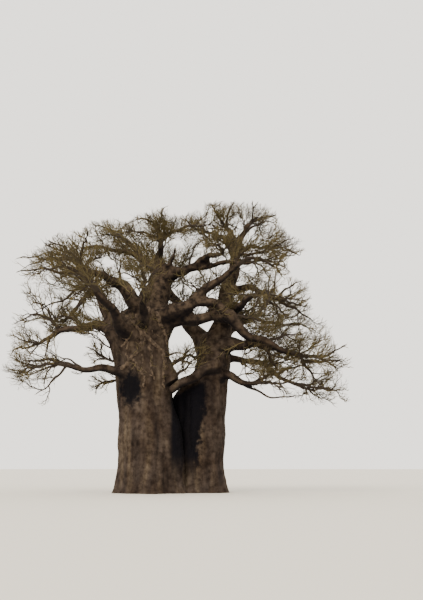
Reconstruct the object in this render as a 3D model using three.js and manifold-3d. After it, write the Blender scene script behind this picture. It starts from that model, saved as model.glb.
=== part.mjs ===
// A baobab in its bare season. Two stems have grown together at the foot, thick boughs spread from
// their heads, and each bough ends in a mass of crooked twigs. Every trunk, bough and mass is one
// closed solid. Sizes in the tables are metres, and the solids are millimetres. +Z is up, +X is to
// the right of the tree's front, +Y points to its back, and the origin is on the ground under it.

import * as THREE from "three";
import { mergeVertices } from "three/addons/utils/BufferGeometryUtils.js";
import Module from "manifold-3d";

const wasm = await Module();
wasm.setup();

const MM = 1000;
const CLEAR = 0.0003; // pieces that meet keep this gap
const UP = new THREE.Vector3(0, 0, 1);
const GOLDEN_TURN = 2.399963;

// Trunks

const TRUNK_SIDES = 22;
const FOLDS = 5; // long folds that run down each trunk
const FOLD_DEPTH = 0.035; // as a share of the radius
const FLARE = 0.13; // how far the foot spreads, as a share of the radius
const FLARE_HEIGHT = 0.55;

// Each level is [height, centre x, centre y, half width, half depth].
const TRUNKS = {
  left_trunk: {
    turn: 0.4,
    dome: 0.3,
    levels: [
      [0, -1.2, -0.1, 2.0, 1.85],
      [0.3, -1.2, -0.1, 2.0, 1.85],
      [0.8, -1.2, -0.1, 2.0, 1.82],
      [1.7, -1.21, -0.1, 1.99, 1.8],
      [2.9, -1.25, -0.1, 1.96, 1.76],
      [4.0, -1.33, -0.1, 1.9, 1.72],
      [4.8, -1.47, -0.05, 1.77, 1.66],
      [5.6, -1.62, 0, 1.64, 1.6],
      [6.9, -1.71, 0, 1.65, 1.58],
      [8.2, -1.94, 0, 1.7, 1.56],
      [9.3, -2.15, 0, 1.86, 1.5],
      [9.9, -2.1, 0, 2.13, 1.48],
      [10.6, -1.72, 0.05, 2.18, 1.36],
      [11.2, -1.72, 0.1, 1.44, 1.18],
      [11.9, -1.4, 0.15, 1.0, 0.95],
    ],
  },
  right_trunk: {
    turn: 1.9,
    dome: 0.35,
    levels: [
      [0, 1.72, 0.8, 1.7, 1.6],
      [0.3, 1.72, 0.8, 1.66, 1.58],
      [0.8, 1.72, 0.8, 1.6, 1.55],
      [1.7, 1.73, 0.8, 1.56, 1.52],
      [3.2, 1.76, 0.8, 1.58, 1.5],
      [4.6, 1.79, 0.8, 1.62, 1.48],
      [5.7, 1.71, 0.8, 1.73, 1.42],
      [6.6, 2.03, 0.8, 1.45, 1.3],
      [7.3, 2.4, 0.8, 1.16, 1.16],
      [8.2, 2.6, 0.82, 1.06, 1.08],
      [9.1, 2.62, 0.85, 1.08, 1.02],
      [9.7, 2.66, 0.9, 0.85, 0.85],
    ],
  },
};

// Boughs

const LIMB_STEP = 1.15; // length of a bough's straight pieces
const CROOK = 0.02; // how far a bough wanders, as a share of its length
const ENTRY = 0.8; // a bough ends this far out in its mass, as a share of the mass's reach
const COLLAR = 0.35; // how much a bough swells where it leaves its parent
const ROUND_END = [
  [0.45, 0.82],
  [0.72, 0.48],
]; // rings past the tip of a bough that carries no twigs of its own: distance and size

// `from` and `at` say where the bough's axis starts: a height on a trunk, or a share of a bough's
// length. `aside` moves that start across the trunk. `lift` raises the line a third and two thirds
// of the way out, `bow` carries it sideways, and `radius` is at the root and at the tip.
const LIMBS = [
  { name: "left_stem", from: "left_trunk", at: 10.4, aside: [0.2, 0.1], radius: [0.9, 0.52],
    tip: [-0.67, 0.2, 13.88], lift: [-0.5, 0.3] },
  { name: "left_low", from: "left_trunk", at: 7.1, aside: [0, -0.2], radius: [0.36, 0.11],
    tip: [-6.4, -2.6, 7.45], lift: [0.5, -0.3] },
  { name: "left_mid", from: "left_trunk", at: 8.9, aside: [0, 0.1], radius: [0.44, 0.13],
    tip: [-8.15, 1.6, 9.56], lift: [1.4, 1.6] },
  { name: "left_high", from: "left_trunk", at: 9.0, aside: [-0.85, 0.5], radius: [0.54, 0.2],
    tip: [-5.94, 2.4, 14.41], lift: [0.4, -0.1] },
  { name: "left_cross", from: "left_trunk", at: 10.2, aside: [0.1, -0.5], radius: [0.42, 0.16],
    tip: [-5.1, -2.6, 13.18], lift: [2.2, 0.6] },
  { name: "left_droop", from: "left_high", at: 0.62, radius: [0.18, 0.08],
    tip: [-7.54, 3.6, 11.12], lift: [1.7, -0.6] },
  { name: "top_left", from: "left_stem", at: 0.95, radius: [0.38, 0.13],
    tip: [-3.35, 1.6, 16.57], lift: [-0.6, -0.1] },
  { name: "top_mid", from: "top_left", at: 0.12, radius: [0.28, 0.11],
    tip: [-0.66, -1.6, 15.76], lift: [0.9, 0] },
  { name: "over_limb", from: "left_stem", at: 0.86, radius: [0.44, 0.17],
    tip: [1.69, -0.7, 14.14], lift: [-0.2, 0] },
  { name: "over_high", from: "over_limb", at: 0.96, radius: [0.24, 0.12],
    tip: [3.03, -2.6, 14.54], lift: [0.5, -0.2] },
  { name: "left_stub", from: "left_stem", at: 0.97, radius: [0.19, 0.07],
    tip: [0.13, -0.95, 15.19], lift: [0.1, -1.0] },
  { name: "long_right", from: "left_trunk", at: 10.6, aside: [0.6, -0.6], radius: [0.46, 0.14],
    tip: [4.14, -2.6, 13.77], lift: [-0.9, 0] },
  { name: "arch", from: "long_right", at: 0.33, radius: [0.28, 0.27],
    tip: [3.37, -2.0, 10.73], lift: [0.7, 0.9] },
  { name: "right_long", from: "arch", at: 0.97, radius: [0.32, 0.12],
    tip: [8, -2.2, 7.64], lift: [-1.3, 0.5] },
  { name: "right_stem", from: "right_trunk", at: 8.8, aside: [0.2, 0.1], radius: [0.64, 0.27],
    tip: [4.24, 0.9, 15.85], lift: [0.2, 0.2] },
  { name: "back_cross", from: "right_trunk", at: 8.9, aside: [-0.4, 0.4], radius: [0.5, 0.2],
    tip: [-0.9, 3.2, 14.37], lift: [0, -0.3] },
  { name: "top_right_a", from: "right_stem", at: 0.95, radius: [0.2, 0.09],
    tip: [3.15, 0.2, 17.48], lift: [0.8, -0.3] },
  { name: "top_right_b", from: "right_stem", at: 0.97, radius: [0.2, 0.09],
    tip: [5.61, 1.2, 17.9], lift: [0.8, 0.2] },
  { name: "top_right_c", from: "right_stem", at: 0.86, radius: [0.2, 0.09],
    tip: [2.36, 1.4, 17], lift: [1.0, 0.1] },
  { name: "right_upper", from: "right_stem", at: 0.9, radius: [0.18, 0.08],
    tip: [6.28, 1.6, 15.95], lift: [0.5, 0.1] },
  { name: "right_mid", from: "right_stem", at: 0.5, radius: [0.3, 0.11],
    tip: [6.73, -1, 11.69], lift: [1.1, 0.6] },
  { name: "right_thin", from: "right_stem", at: 0.25, radius: [0.2, 0.09],
    tip: [6.82, 3.4, 11.12], lift: [1.1, -0.1] },
  { name: "right_low", from: "right_trunk", at: 7.7, aside: [0.2, 0], radius: [0.25, 0.1],
    tip: [8.15, 2.2, 6.79], lift: [2.0, 0.4] },
  { name: "right_bottom", from: "right_trunk", at: 6.8, aside: [0.2, -0.3], radius: [0.33, 0.09],
    tip: [5.75, -1.8, 6.75], lift: [1.2, -1.0] },
  { name: "right_trail", from: "right_bottom", at: 0.5, radius: [0.1, 0.04],
    tip: [7.65, -0.8, 5.9], lift: [-0.5, -0.8] },
  { name: "cleft", from: "right_trunk", at: 8.05, aside: [0.55, -0.75], radius: [0.36, 0.24],
    tip: [-0.25, -1.2, 6.0], lift: [0.2, 0.2], bow: -0.55 },
  { name: "front_left", from: "left_trunk", at: 9.0, aside: [-0.2, -0.5], radius: [0.42, 0.14],
    tip: [-4.87, -5.2, 12.27], lift: [0.1, -0.3] },
  { name: "front_mid", from: "left_trunk", at: 9.8, aside: [0.1, -0.6], radius: [0.36, 0.13],
    tip: [-1.6, -4.2, 12.2], lift: [-0.3, -0.4] },
  { name: "front_right", from: "right_stem", at: 0.22, radius: [0.34, 0.13],
    tip: [5.2, -4.4, 11.6], lift: [0.5, 0.3] },
  { name: "back_left", from: "left_trunk", at: 9.2, aside: [-0.2, 0.5], radius: [0.45, 0.15],
    tip: [-5.4, 5.0, 13.7], lift: [0.3, -0.3] },
  { name: "back_right", from: "right_trunk", at: 8.6, aside: [0.3, 0.3], radius: [0.42, 0.14],
    tip: [5.8, 5.2, 11.9], lift: [1.6, 0.5] },
];

// Twig masses

const STEM = { pieces: 3, sides: 4, taper: 0.4 };
const MAIN = { pieces: 2, sides: 3, radius: [0.062, 0.03], wander: 0.08 };
const SHOOT = { pieces: 1, sides: 3, radius: [0.02, 0.006], wander: 0 };
const SHOOTS_PER_MAIN = 3;
const TWIG_CLEAR = 0.05; // a twig keeps this far from every bough
const TRIM = 5; // edges shorter than this many millimetres go, where twigs were fused
const EDGE = 0.05; // share of a mass's reach that stays empty at the border with the next mass

// `on` is the bough whose tip the mass grows from, or a trunk with the height and heading of the
// place. The mass keeps inside an ellipsoid with this centre and reach.
const MASSES = [
  { name: "left_low", on: "left_low", centre: [-8.26, -3.2, 6.98], reach: [1.7, 2.6, 1.2] },
  { name: "left_mid", on: "left_mid", centre: [-9.46, 2.4, 9.31], reach: [1.7, 2.6, 1.3] },
  { name: "left_droop", on: "left_droop", centre: [-8.61, 4.2, 12.07], reach: [2.5, 2.6, 1.2] },
  { name: "left_high", on: "left_high", centre: [-8.34, 3.2, 15.09], reach: [2.7, 3.0, 1.6] },
  { name: "left_cross", on: "left_cross", centre: [-5.27, -3.4, 14.29], reach: [1.9, 2.8, 1.4] },
  { name: "top_left", on: "top_left", centre: [-3.92, 2.6, 16.98], reach: [2.2, 3.0, 1.4] },
  { name: "top_mid", on: "top_mid", centre: [-0.97, -2.2, 15.98], reach: [1.9, 2.8, 1.5] },
  { name: "over_high", on: "over_high", centre: [2.52, -4, 14.37], reach: [1.5, 2.4, 1.2] },
  { name: "top_right_c", on: "top_right_c", centre: [1.68, 2.4, 17.22], reach: [1.8, 2.6, 1.5] },
  { name: "top_right_a", on: "top_right_a", centre: [2.95, -0.2, 17.36], reach: [1.8, 2.7, 1.1] },
  { name: "top_right_b", on: "top_right_b", centre: [5.71, 1.6, 17.73], reach: [1.5, 2.8, 1.4] },
  { name: "right_upper", on: "right_upper", centre: [7.31, 2.4, 16.01], reach: [2.1, 2.6, 1.0] },
  { name: "long_right", on: "long_right", centre: [5.56, -3.6, 13.31], reach: [1.6, 2.6, 1.2] },
  { name: "right_mid", on: "right_mid", centre: [7.05, -1.6, 11.64], reach: [1.6, 2.6, 1.4] },
  { name: "right_thin", on: "right_thin", centre: [8.25, 4.6, 11.29], reach: [2.4, 2.6, 1.6] },
  { name: "right_long", on: "right_long", centre: [8.71, -3.2, 8.11], reach: [2.0, 3.0, 1.7] },
  { name: "right_low", on: "right_low", centre: [9.7, 3.4, 6.82], reach: [2.2, 2.6, 1.3] },
  { name: "right_bottom", on: "right_bottom", centre: [6.09, -2.8, 6.41], reach: [1.7, 2.2, 1.0] },
  { name: "back_cross", on: "back_cross", centre: [-1.4, 5.4, 15.5], reach: [2.7, 3.1, 1.8] },
  { name: "front_left", on: "front_left", centre: [-5.7, -6.0, 12.3], reach: [2.6, 2.9, 1.7] },
  { name: "front_mid", on: "front_mid", centre: [-1.8, -5.6, 12.3], reach: [1.8, 2.8, 1.7] },
  { name: "front_right", on: "front_right", centre: [5.2, -6.0, 11.1], reach: [2.7, 2.9, 1.7] },
  { name: "back_left", on: "back_left", centre: [-6.4, 6.6, 14.6], reach: [3.1, 3.0, 1.9] },
  { name: "back_right", on: "back_right", centre: [6.2, 6.6, 12.6], reach: [3.1, 3.0, 2.0] },
  { name: "tuft_low", on: "left_trunk", at: 6.9, heading: 183, radius: 0.09,
    centre: [-4.3, -0.4, 6.5], reach: [1.0, 1.2, 0.8] },
  { name: "tuft_side", on: "left_trunk", at: 8.0, heading: 168, radius: 0.09,
    centre: [-4.6, 0.7, 8.7], reach: [1.1, 1.3, 1.0] },
  { name: "cleft", on: "right_trunk", at: 8.3, heading: 215, radius: 0.1,
    centre: [0.35, -1.8, 7.8], reach: [1.0, 1.2, 1.3] },
];

// Materials

const dull = (color, roughness) =>
  new THREE.MeshStandardMaterial({ color, roughness, metalness: 0, flatShading: true });
const BARK = dull(0x6f5f4c, 0.92);
const TWIG_BARK = dull(0x5d4d38, 0.9);

// Curves

const vector = (list) => new THREE.Vector3(...list);

// A number from 0 to 1 that depends only on a whole-number seed and a place in its row.
function draw(seed, place) {
  let bits = (seed + Math.imul(place + 1, 0x9e3779b1)) >>> 0;
  bits = Math.imul(bits ^ (bits >>> 16), 0x85ebca6b) >>> 0;
  bits = Math.imul(bits ^ (bits >>> 13), 0xc2b2ae35) >>> 0;
  return ((bits ^ (bits >>> 16)) >>> 0) / 2 ** 32;
}

// The seed of a twig's child, worked out from the twig's own seed.
const childSeed = (seed, index) => (Math.imul(seed, 31) + 977 * (index + 1)) >>> 0;

// Two unit vectors square to a direction and to each other, with across x direction = second.
function squareTo(direction) {
  const helper = Math.abs(direction.z) > 0.9 ? new THREE.Vector3(1, 0, 0) : UP;
  const across = new THREE.Vector3().crossVectors(direction, helper).normalize();
  return [across, new THREE.Vector3().crossVectors(across, direction)];
}

// The point at a share, 0 to 1, of a line of points, and the line's direction there.
function alongLine(points, share) {
  const place = Math.min(Math.max(share, 0), 1) * (points.length - 1);
  const piece = Math.min(Math.floor(place), points.length - 2);
  const step = points[piece + 1].clone().sub(points[piece]);
  return [points[piece].clone().addScaledVector(step, place - piece), step.normalize()];
}

// A line's points with the inner ones pushed off it, as crooked wood is.
function kinked(points, wander, seed) {
  const last = points.length - 1;
  const length = points[0].distanceTo(points[last]);
  return points.map((point, i) => {
    if (i === 0 || i === last) return point;
    const [, direction] = alongLine(points, i / last);
    const [a, b] = squareTo(direction);
    const turn = 2 * Math.PI * draw(seed, 40 + i);
    return point
      .clone()
      .addScaledVector(a, wander * length * Math.cos(turn))
      .addScaledVector(b, wander * length * Math.sin(turn));
  });
}

// Solids

// A closed solid from a three.js geometry whose vertices are moved to where `place` puts them.
function shaped(geometry, place) {
  const position = geometry.getAttribute("position");
  for (let i = 0; i < position.count; i++) {
    const along = position.getY(i) + 0.5;
    const size = Math.hypot(position.getX(i), position.getZ(i));
    const angle = Math.atan2(position.getX(i), position.getZ(i));
    const point = place(along, size, angle).multiplyScalar(MM);
    position.setXYZ(i, point.x, point.y, point.z);
  }
  geometry.deleteAttribute("normal");
  geometry.deleteAttribute("uv");
  const merged = mergeVertices(geometry, 1e-3);
  const solid = new wasm.Manifold(
    new wasm.Mesh({
      numProp: 3,
      vertProperties: new Float32Array(merged.getAttribute("position").array),
      triVerts: new Uint32Array(merged.index.array),
    }),
  );
  return solid;
}

// A tapering tube along a line of points. A last radius of 0 makes it end in a point. Its first
// ring is square to `heading` when that is given.
function tube(points, radii, sides, heading) {
  const last = points.length - 1;
  const frames = [];
  points.forEach((point, i) => {
    const before = points[Math.max(i - 1, 0)];
    const after = points[Math.min(i + 1, last)];
    const direction = i === 0 && heading ? heading : after.clone().sub(before).normalize();
    let across = squareTo(direction)[0];
    if (i > 0) {
      across = frames[i - 1].across.clone();
      across.addScaledVector(direction, -across.dot(direction)).normalize();
    }
    frames.push({ across, other: new THREE.Vector3().crossVectors(direction, across) });
  });
  const pointed = radii[last] === 0;
  const geometry = pointed
    ? new THREE.ConeGeometry(1, 1, sides, last)
    : new THREE.CylinderGeometry(1, 1, 1, sides, last);
  return shaped(geometry, (along, size, angle) => {
    const ring = Math.round(along * last);
    const radius = size > 1e-6 ? radii[ring] : 0;
    return points[ring]
      .clone()
      .addScaledVector(frames[ring].across, radius * Math.cos(angle))
      .addScaledVector(frames[ring].other, radius * Math.sin(angle));
  });
}

// The largest body of a solid that a cut may have left in pieces.
function largest(solid) {
  const bodies = solid.decompose();
  return bodies.reduce((best, body) => (body.volume() > best.volume() ? body : best));
}

// A named mesh from a finished solid.
function meshOf(name, solid, material) {
  const { numProp, vertProperties, triVerts } = solid.getMesh();
  const points = new Float32Array((vertProperties.length / numProp) * 3);
  for (let i = 0; i < points.length / 3; i++)
    points.set(vertProperties.subarray(i * numProp, i * numProp + 3), i * 3);
  const geometry = new THREE.BufferGeometry();
  geometry.setAttribute("position", new THREE.BufferAttribute(points, 3));
  geometry.setIndex(new THREE.BufferAttribute(new Uint32Array(triVerts), 1));
  geometry.computeVertexNormals();
  const mesh = new THREE.Mesh(geometry, material);
  mesh.name = name;
  return mesh;
}

// The trunks' shape

// A trunk's centre and half sizes at a height, on straight lines between its levels.
function trunkLevel(trunk, height) {
  const rows = trunk.levels;
  const next = Math.max(1, rows.findIndex((row) => row[0] >= height));
  const [below, above] = [rows[next - 1], rows[next]];
  const share = (height - below[0]) / (above[0] - below[0]);
  const [x, y, wide, deep] = [1, 2, 3, 4].map((k) => below[k] + (above[k] - below[k]) * share);
  return { x, y, wide, deep };
}

// How far a trunk's skin stands out at an angle and height, against its plain oval.
function relief(trunk, angle, height) {
  const folds = Math.cos(FOLDS * angle + trunk.turn) + 0.6 * Math.cos(8 * angle - 2 * trunk.turn);
  const foot = Math.exp(-height / FLARE_HEIGHT);
  return 1 + FOLD_DEPTH * folds * (1 + 1.5 * foot) + FLARE * foot;
}

// A trunk grown by `extra` metres all round, from its flat cut on the ground to its domed head.
function trunkSolid(trunk, extra = 0) {
  const top = trunk.levels[trunk.levels.length - 1][0];
  const rings = trunk.levels.map((row) => ({ height: row[0], size: 1 }));
  rings.push({ height: top + trunk.dome * 0.65, size: 0.72 });
  rings.push({ height: top + trunk.dome, size: 0.36 });
  const last = rings.length - 1;
  const geometry = new THREE.CylinderGeometry(1, 1, 1, TRUNK_SIDES, last);
  return shaped(geometry, (along, size, angle) => {
    const index = Math.round(along * last);
    const ring = rings[index];
    const { x, y, wide, deep } = trunkLevel(trunk, Math.min(ring.height, top));
    const out = size > 1e-6 ? relief(trunk, angle, ring.height) * ring.size : 0;
    const rim = size > 1e-6 ? extra : 0;
    const rise = index === last ? extra : index === 0 ? -extra : 0;
    return new THREE.Vector3(
      x + Math.sin(angle) * (wide * out + rim),
      y - Math.cos(angle) * (deep * out + rim),
      ring.height + rise,
    );
  });
}

// The boughs' lines

// How far out a point lies in a mass's ellipsoid: 0 at the centre, 1 at the skin.
function depthIn(mass, point) {
  const [x, y, z] = mass.centre;
  const [rx, ry, rz] = mass.reach;
  return Math.hypot((point.x - x) / rx, (point.y - y) / ry, (point.z - z) / rz);
}

const limbs = new Map();

// Where a bough starts, and how deep its root lies in its parent.
function rootOf(limb) {
  const trunk = TRUNKS[limb.from];
  if (trunk) {
    const { x, y, wide } = trunkLevel(trunk, limb.at);
    const [dx, dy] = limb.aside ?? [0, 0];
    return { start: new THREE.Vector3(x + dx, y + dy, limb.at), buried: wide * 0.85 };
  }
  const parent = limbs.get(limb.from);
  return { start: parent.pointAt(limb.at), buried: parent.radiusAt(limb.at) };
}

// Adds to a bough's row its curve, its radius along the curve and its points for the solid, which
// stops where it enters the bough's mass of twigs.
function layOut(limb, index) {
  const { start, buried } = rootOf(limb);
  const tip = vector(limb.tip);
  const chord = tip.clone().sub(start);
  const side = new THREE.Vector3().crossVectors(chord, UP).normalize();
  const handle = (share, lift) => {
    const level = start.clone().addScaledVector(chord, share);
    return level.addScaledVector(UP, lift).addScaledVector(side, limb.bow ?? 0);
  };
  const [near, far] = [handle(1 / 3, limb.lift[0]), handle(2 / 3, limb.lift[1])];
  const curve = new THREE.CubicBezierCurve3(start, near, far, tip);
  const length = curve.getLength();
  const [a, b] = squareTo(chord.clone().normalize());
  const [turn, other] = [draw(index, 0), draw(index, 1)].map((number) => 2 * Math.PI * number);
  limb.pointAt = (t) => {
    const sway = CROOK * length * 4 * t * (1 - t);
    return curve
      .getPoint(t)
      .addScaledVector(a, sway * Math.sin(9 * t + turn))
      .addScaledVector(b, sway * Math.sin(14 * t + other));
  };
  const [root, end] = limb.radius;
  limb.radiusAt = (t) => {
    const out = Math.max(0, t * length - buried);
    return (end + (root - end) * (1 - t)) * (1 + COLLAR * Math.exp(-out / (1.6 * root)));
  };
  const mass = MASSES.find((row) => row.on === limb.name);
  let stop = 1;
  while (mass && stop > 0.6 && depthIn(mass, limb.pointAt(stop)) < ENTRY) stop -= 0.02;
  const count = Math.max(4, Math.round((length * stop) / LIMB_STEP));
  const shares = Array.from({ length: count + 1 }, (_, i) => (stop * i) / count);
  limb.points = shares.map(limb.pointAt);
  limb.radii = shares.map(limb.radiusAt);
  limbs.set(limb.name, limb);
}

// A bough's solid, grown by `extra` metres all round.
function limbSolid(limb, extra = 0) {
  const points = limb.points.map((point) => point.clone());
  const radii = limb.radii.map((radius) => radius + extra);
  if (!MASSES.some((mass) => mass.on === limb.name)) {
    const [tip, direction] = alongLine(points, 1);
    const radius = limb.radii[limb.radii.length - 1];
    for (const [distance, size] of ROUND_END) {
      points.push(tip.clone().addScaledVector(direction, distance * radius));
      radii.push(radius * size + extra);
    }
  }
  if (extra) {
    const [root, forward] = alongLine(points, 0);
    const [tip, direction] = alongLine(points, 1);
    points[0] = root.addScaledVector(forward, -extra);
    points[points.length - 1] = tip.addScaledVector(direction, extra);
  }
  return tube(points, radii, 5 + Math.round(4 * limb.radius[0]));
}

// The twigs' growth

// Whether a point is in the mass's own space, and not nearer to the heart of another mass.
function ownSpace(mass, point) {
  const own = depthIn(mass, point);
  return own <= 1 && MASSES.every((other) => other === mass || depthIn(other, point) > own + EDGE);
}

// The distance from a point to a line of points with a thickness, less that thickness.
function distanceTo(wood, point) {
  let nearest = Infinity;
  for (let i = 1; i < wood.points.length; i++) {
    const line = new THREE.Line3(wood.points[i - 1], wood.points[i]);
    const share = line.closestPointToPointParameter(point, true);
    const radius = wood.radii[i - 1] + (wood.radii[i] - wood.radii[i - 1]) * share;
    nearest = Math.min(nearest, line.at(share, new THREE.Vector3()).distanceTo(point) - radius);
  }
  return nearest;
}

// Whether a point is inside or near a trunk.
function nearTrunk(point) {
  return Object.values(TRUNKS).some((trunk) => {
    const top = trunk.levels[trunk.levels.length - 1][0];
    if (point.z > top + 1) return false;
    const { x, y, wide, deep } = trunkLevel(trunk, Math.min(Math.max(point.z, 0), top));
    return Math.hypot((point.x - x) / (wide * 1.12), (point.y - y) / (deep * 1.12)) < 1;
  });
}

// Whether the outer part of a twig keeps its space, and keeps off all wood but its parent.
function twigFits(mass, points, parent) {
  return [0.2, 0.4, 0.6, 0.8, 1].every((share) => {
    const [point] = alongLine(points, share);
    if (!ownSpace(mass, point) || nearTrunk(point)) return false;
    return [...WOOD, ...mass.twigs].every((wood) => wood === parent || distanceTo(wood, point) > TWIG_CLEAR);
  });
}

// The radii of a twig's rings from its root to its tip.
function taper(level, scale = 1) {
  const [root, tip] = level.radius;
  return Array.from(
    { length: level.pieces + 1 },
    (_, i) => scale * (root + ((tip - root) * i) / level.pieces),
  );
}

// A mass's stem: it goes on from the bough's tip, or out of the trunk, through the mass's heart.
function stemOf(mass) {
  const limb = limbs.get(mass.on);
  const centre = vector(mass.centre);
  let start, direction, radius;
  if (limb) {
    [start, direction] = alongLine(limb.points, 1);
    radius = limb.radii[limb.radii.length - 1];
    start.addScaledVector(direction, CLEAR);
  } else {
    const trunk = TRUNKS[mass.on];
    const { x, y, wide, deep } = trunkLevel(trunk, mass.at);
    const angle = (mass.heading * Math.PI) / 180;
    const sunk = 0.8;
    start = new THREE.Vector3(x + sunk * wide * Math.cos(angle), y + sunk * deep * Math.sin(angle), mass.at);
    direction = new THREE.Vector3(Math.cos(angle), Math.sin(angle), 0);
    radius = mass.radius;
  }
  const end = centre.clone().lerp(start, -0.45);
  const reach = start.distanceTo(end);
  const bend = start.clone().addScaledVector(direction, 0.4 * reach);
  const curve = new THREE.QuadraticBezierCurve3(start, bend, end);
  const points = Array.from({ length: STEM.pieces + 1 }, (_, i) => curve.getPoint(i / STEM.pieces));
  const radii = points.map((_, i) => radius * (1 - ((1 - STEM.taper) * i) / STEM.pieces));
  return { points: kinked(points, 0.02, mass.seed), radii, heading: direction };
}

// The main twigs of a mass aim at points spread evenly over its skin, more of them in a bigger
// mass. Each leaves the stem at the furthest place from which its aim is still ahead, and is made
// shorter where it has no room.
function growMains(mass) {
  const size = mass.reach[0] * mass.reach[1] * mass.reach[2];
  const count = Math.min(7, Math.round(4 + size / 4));
  for (let i = 0; i < count; i++) {
    const seed = childSeed(mass.seed, i);
    const level = 1 - (2 * (i + 0.5)) / count;
    const turn = GOLDEN_TURN * i + mass.seed;
    const flat = Math.sqrt(1 - level * level);
    const skin = [flat * Math.cos(turn), flat * Math.sin(turn), level];
    for (const far of [1, 0.8, 0.6]) {
      const depth = far * (0.84 + 0.13 * draw(seed, 0));
      const aim = vector(mass.centre.map((middle, k) => middle + mass.reach[k] * skin[k] * depth));
      const points = mainLine(mass.stem, aim, seed);
      if (!twigFits(mass, points, mass.stem)) continue;
      mass.twigs.push({ points, radii: taper(MAIN), sides: MAIN.sides, seed });
      break;
    }
  }
}

// The points of a main twig from its root on the stem to its aim.
function mainLine(stem, aim, seed) {
  let root, forward;
  for (const share of [0.9, 0.75, 0.6, 0.45, 0.3, 0.15]) {
    [root, forward] = alongLine(stem.points, share + 0.08 * (draw(seed, 1) - 0.5));
    if (aim.clone().sub(root).normalize().dot(forward) > 0.6) break;
  }
  const span = aim.clone().sub(root);
  const bend = root.clone().addScaledVector(forward, 0.25 * span.length()).addScaledVector(span, 0.25);
  const curve = new THREE.QuadraticBezierCurve3(root, bend, aim);
  const line = Array.from({ length: MAIN.pieces + 1 }, (_, k) => curve.getPoint(k / MAIN.pieces));
  return kinked(line, MAIN.wander, seed);
}

// Side shoots of a twig: they stand round it by the golden angle, and turn up and outward.
function growShoots(mass, parent, level, count) {
  const length = parent.points[0].distanceTo(parent.points[parent.points.length - 1]);
  for (let i = 0; i < count; i++) {
    const seed = childSeed(parent.seed, i);
    const share = 0.3 + (0.64 * (i + 0.5 * draw(seed, 0))) / (count - 0.5);
    const [root, forward] = alongLine(parent.points, share);
    const [a, b] = squareTo(forward);
    const turn = GOLDEN_TURN * i + 2 * Math.PI * draw(parent.seed, 3);
    const open = 0.75 + 0.35 * draw(seed, 1);
    const direction = forward
      .clone()
      .multiplyScalar(Math.cos(open))
      .addScaledVector(a, Math.sin(open) * Math.cos(turn))
      .addScaledVector(b, Math.sin(open) * Math.sin(turn));
    const outward = new THREE.Vector3(root.x, root.y, 0).normalize();
    direction.addScaledVector(UP, 0.2).addScaledVector(outward, 0.15);
    direction.normalize();
    const full = length * (0.62 - 0.3 * share) * (0.85 + 0.3 * draw(seed, 2));
    for (const reach of [full, 0.65 * full]) {
      const points = Array.from({ length: level.pieces + 1 }, (_, k) =>
        root.clone().addScaledVector(direction, (reach * k) / level.pieces),
      );
      if (!twigFits(mass, points, parent)) continue;
      mass.twigs.push({ points, radii: taper(level), sides: level.sides, seed });
      break;
    }
  }
}

// A whole mass: its stem, main twigs and side shoots, fused into one body.
function massSolid(mass) {
  const stem = mass.stem;
  growMains(mass);
  for (const twig of [...mass.twigs]) growShoots(mass, twig, SHOOT, SHOOTS_PER_MAIN);
  const twigs = mass.twigs.map((twig) => {
    const radii = [...twig.radii];
    radii[radii.length - 1] = 0;
    return tube(twig.points, radii, twig.sides);
  });
  const fused = wasm.Manifold.union([tube(stem.points, stem.radii, STEM.sides, stem.heading), ...twigs]);
  const cut = TRUNKS[mass.on] ? fused.subtract(cutters.get(mass.on)) : fused;
  return cut.simplify(TRIM);
}

// The whole tree

LIMBS.forEach(layOut);
MASSES.forEach((mass, index) => {
  mass.seed = 211 + 17 * index;
  mass.stem = stemOf(mass);
  mass.twigs = [];
});
const WOOD = [...LIMBS, ...MASSES.map((mass) => mass.stem)];

const tree = new THREE.Group();
const cutters = new Map(); // each finished piece, a little larger, to cut the ones that meet it

for (const [name, trunk] of Object.entries(TRUNKS)) {
  let solid = trunkSolid(trunk);
  for (const cutter of cutters.values()) solid = solid.subtract(cutter);
  cutters.set(name, trunkSolid(trunk, CLEAR));
  tree.add(meshOf(name, largest(solid), BARK));
}

for (const limb of LIMBS) {
  let solid = limbSolid(limb);
  for (const cutter of cutters.values()) solid = solid.subtract(cutter);
  cutters.set(limb.name, limbSolid(limb, CLEAR));
  tree.add(meshOf(`bough_${limb.name}`, largest(solid), BARK));
}

for (const mass of MASSES) tree.add(meshOf(`twigs_${mass.name}`, largest(massSolid(mass)), TWIG_BARK));

export default tree;
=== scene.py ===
# A baobab in its bare season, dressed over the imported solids. Two stems have grown together at the
# foot, thick boughs spread from their heads, and every bough ends in a mass of crooked twigs.
# Sizes are metres, in the solids' own frame: +Z up, +X to the right and +Y to the back of the tree.

import math

import bmesh
import bpy
import numpy as np
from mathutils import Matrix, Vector, kdtree, noise
from mathutils.bvhtree import BVHTree


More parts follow.
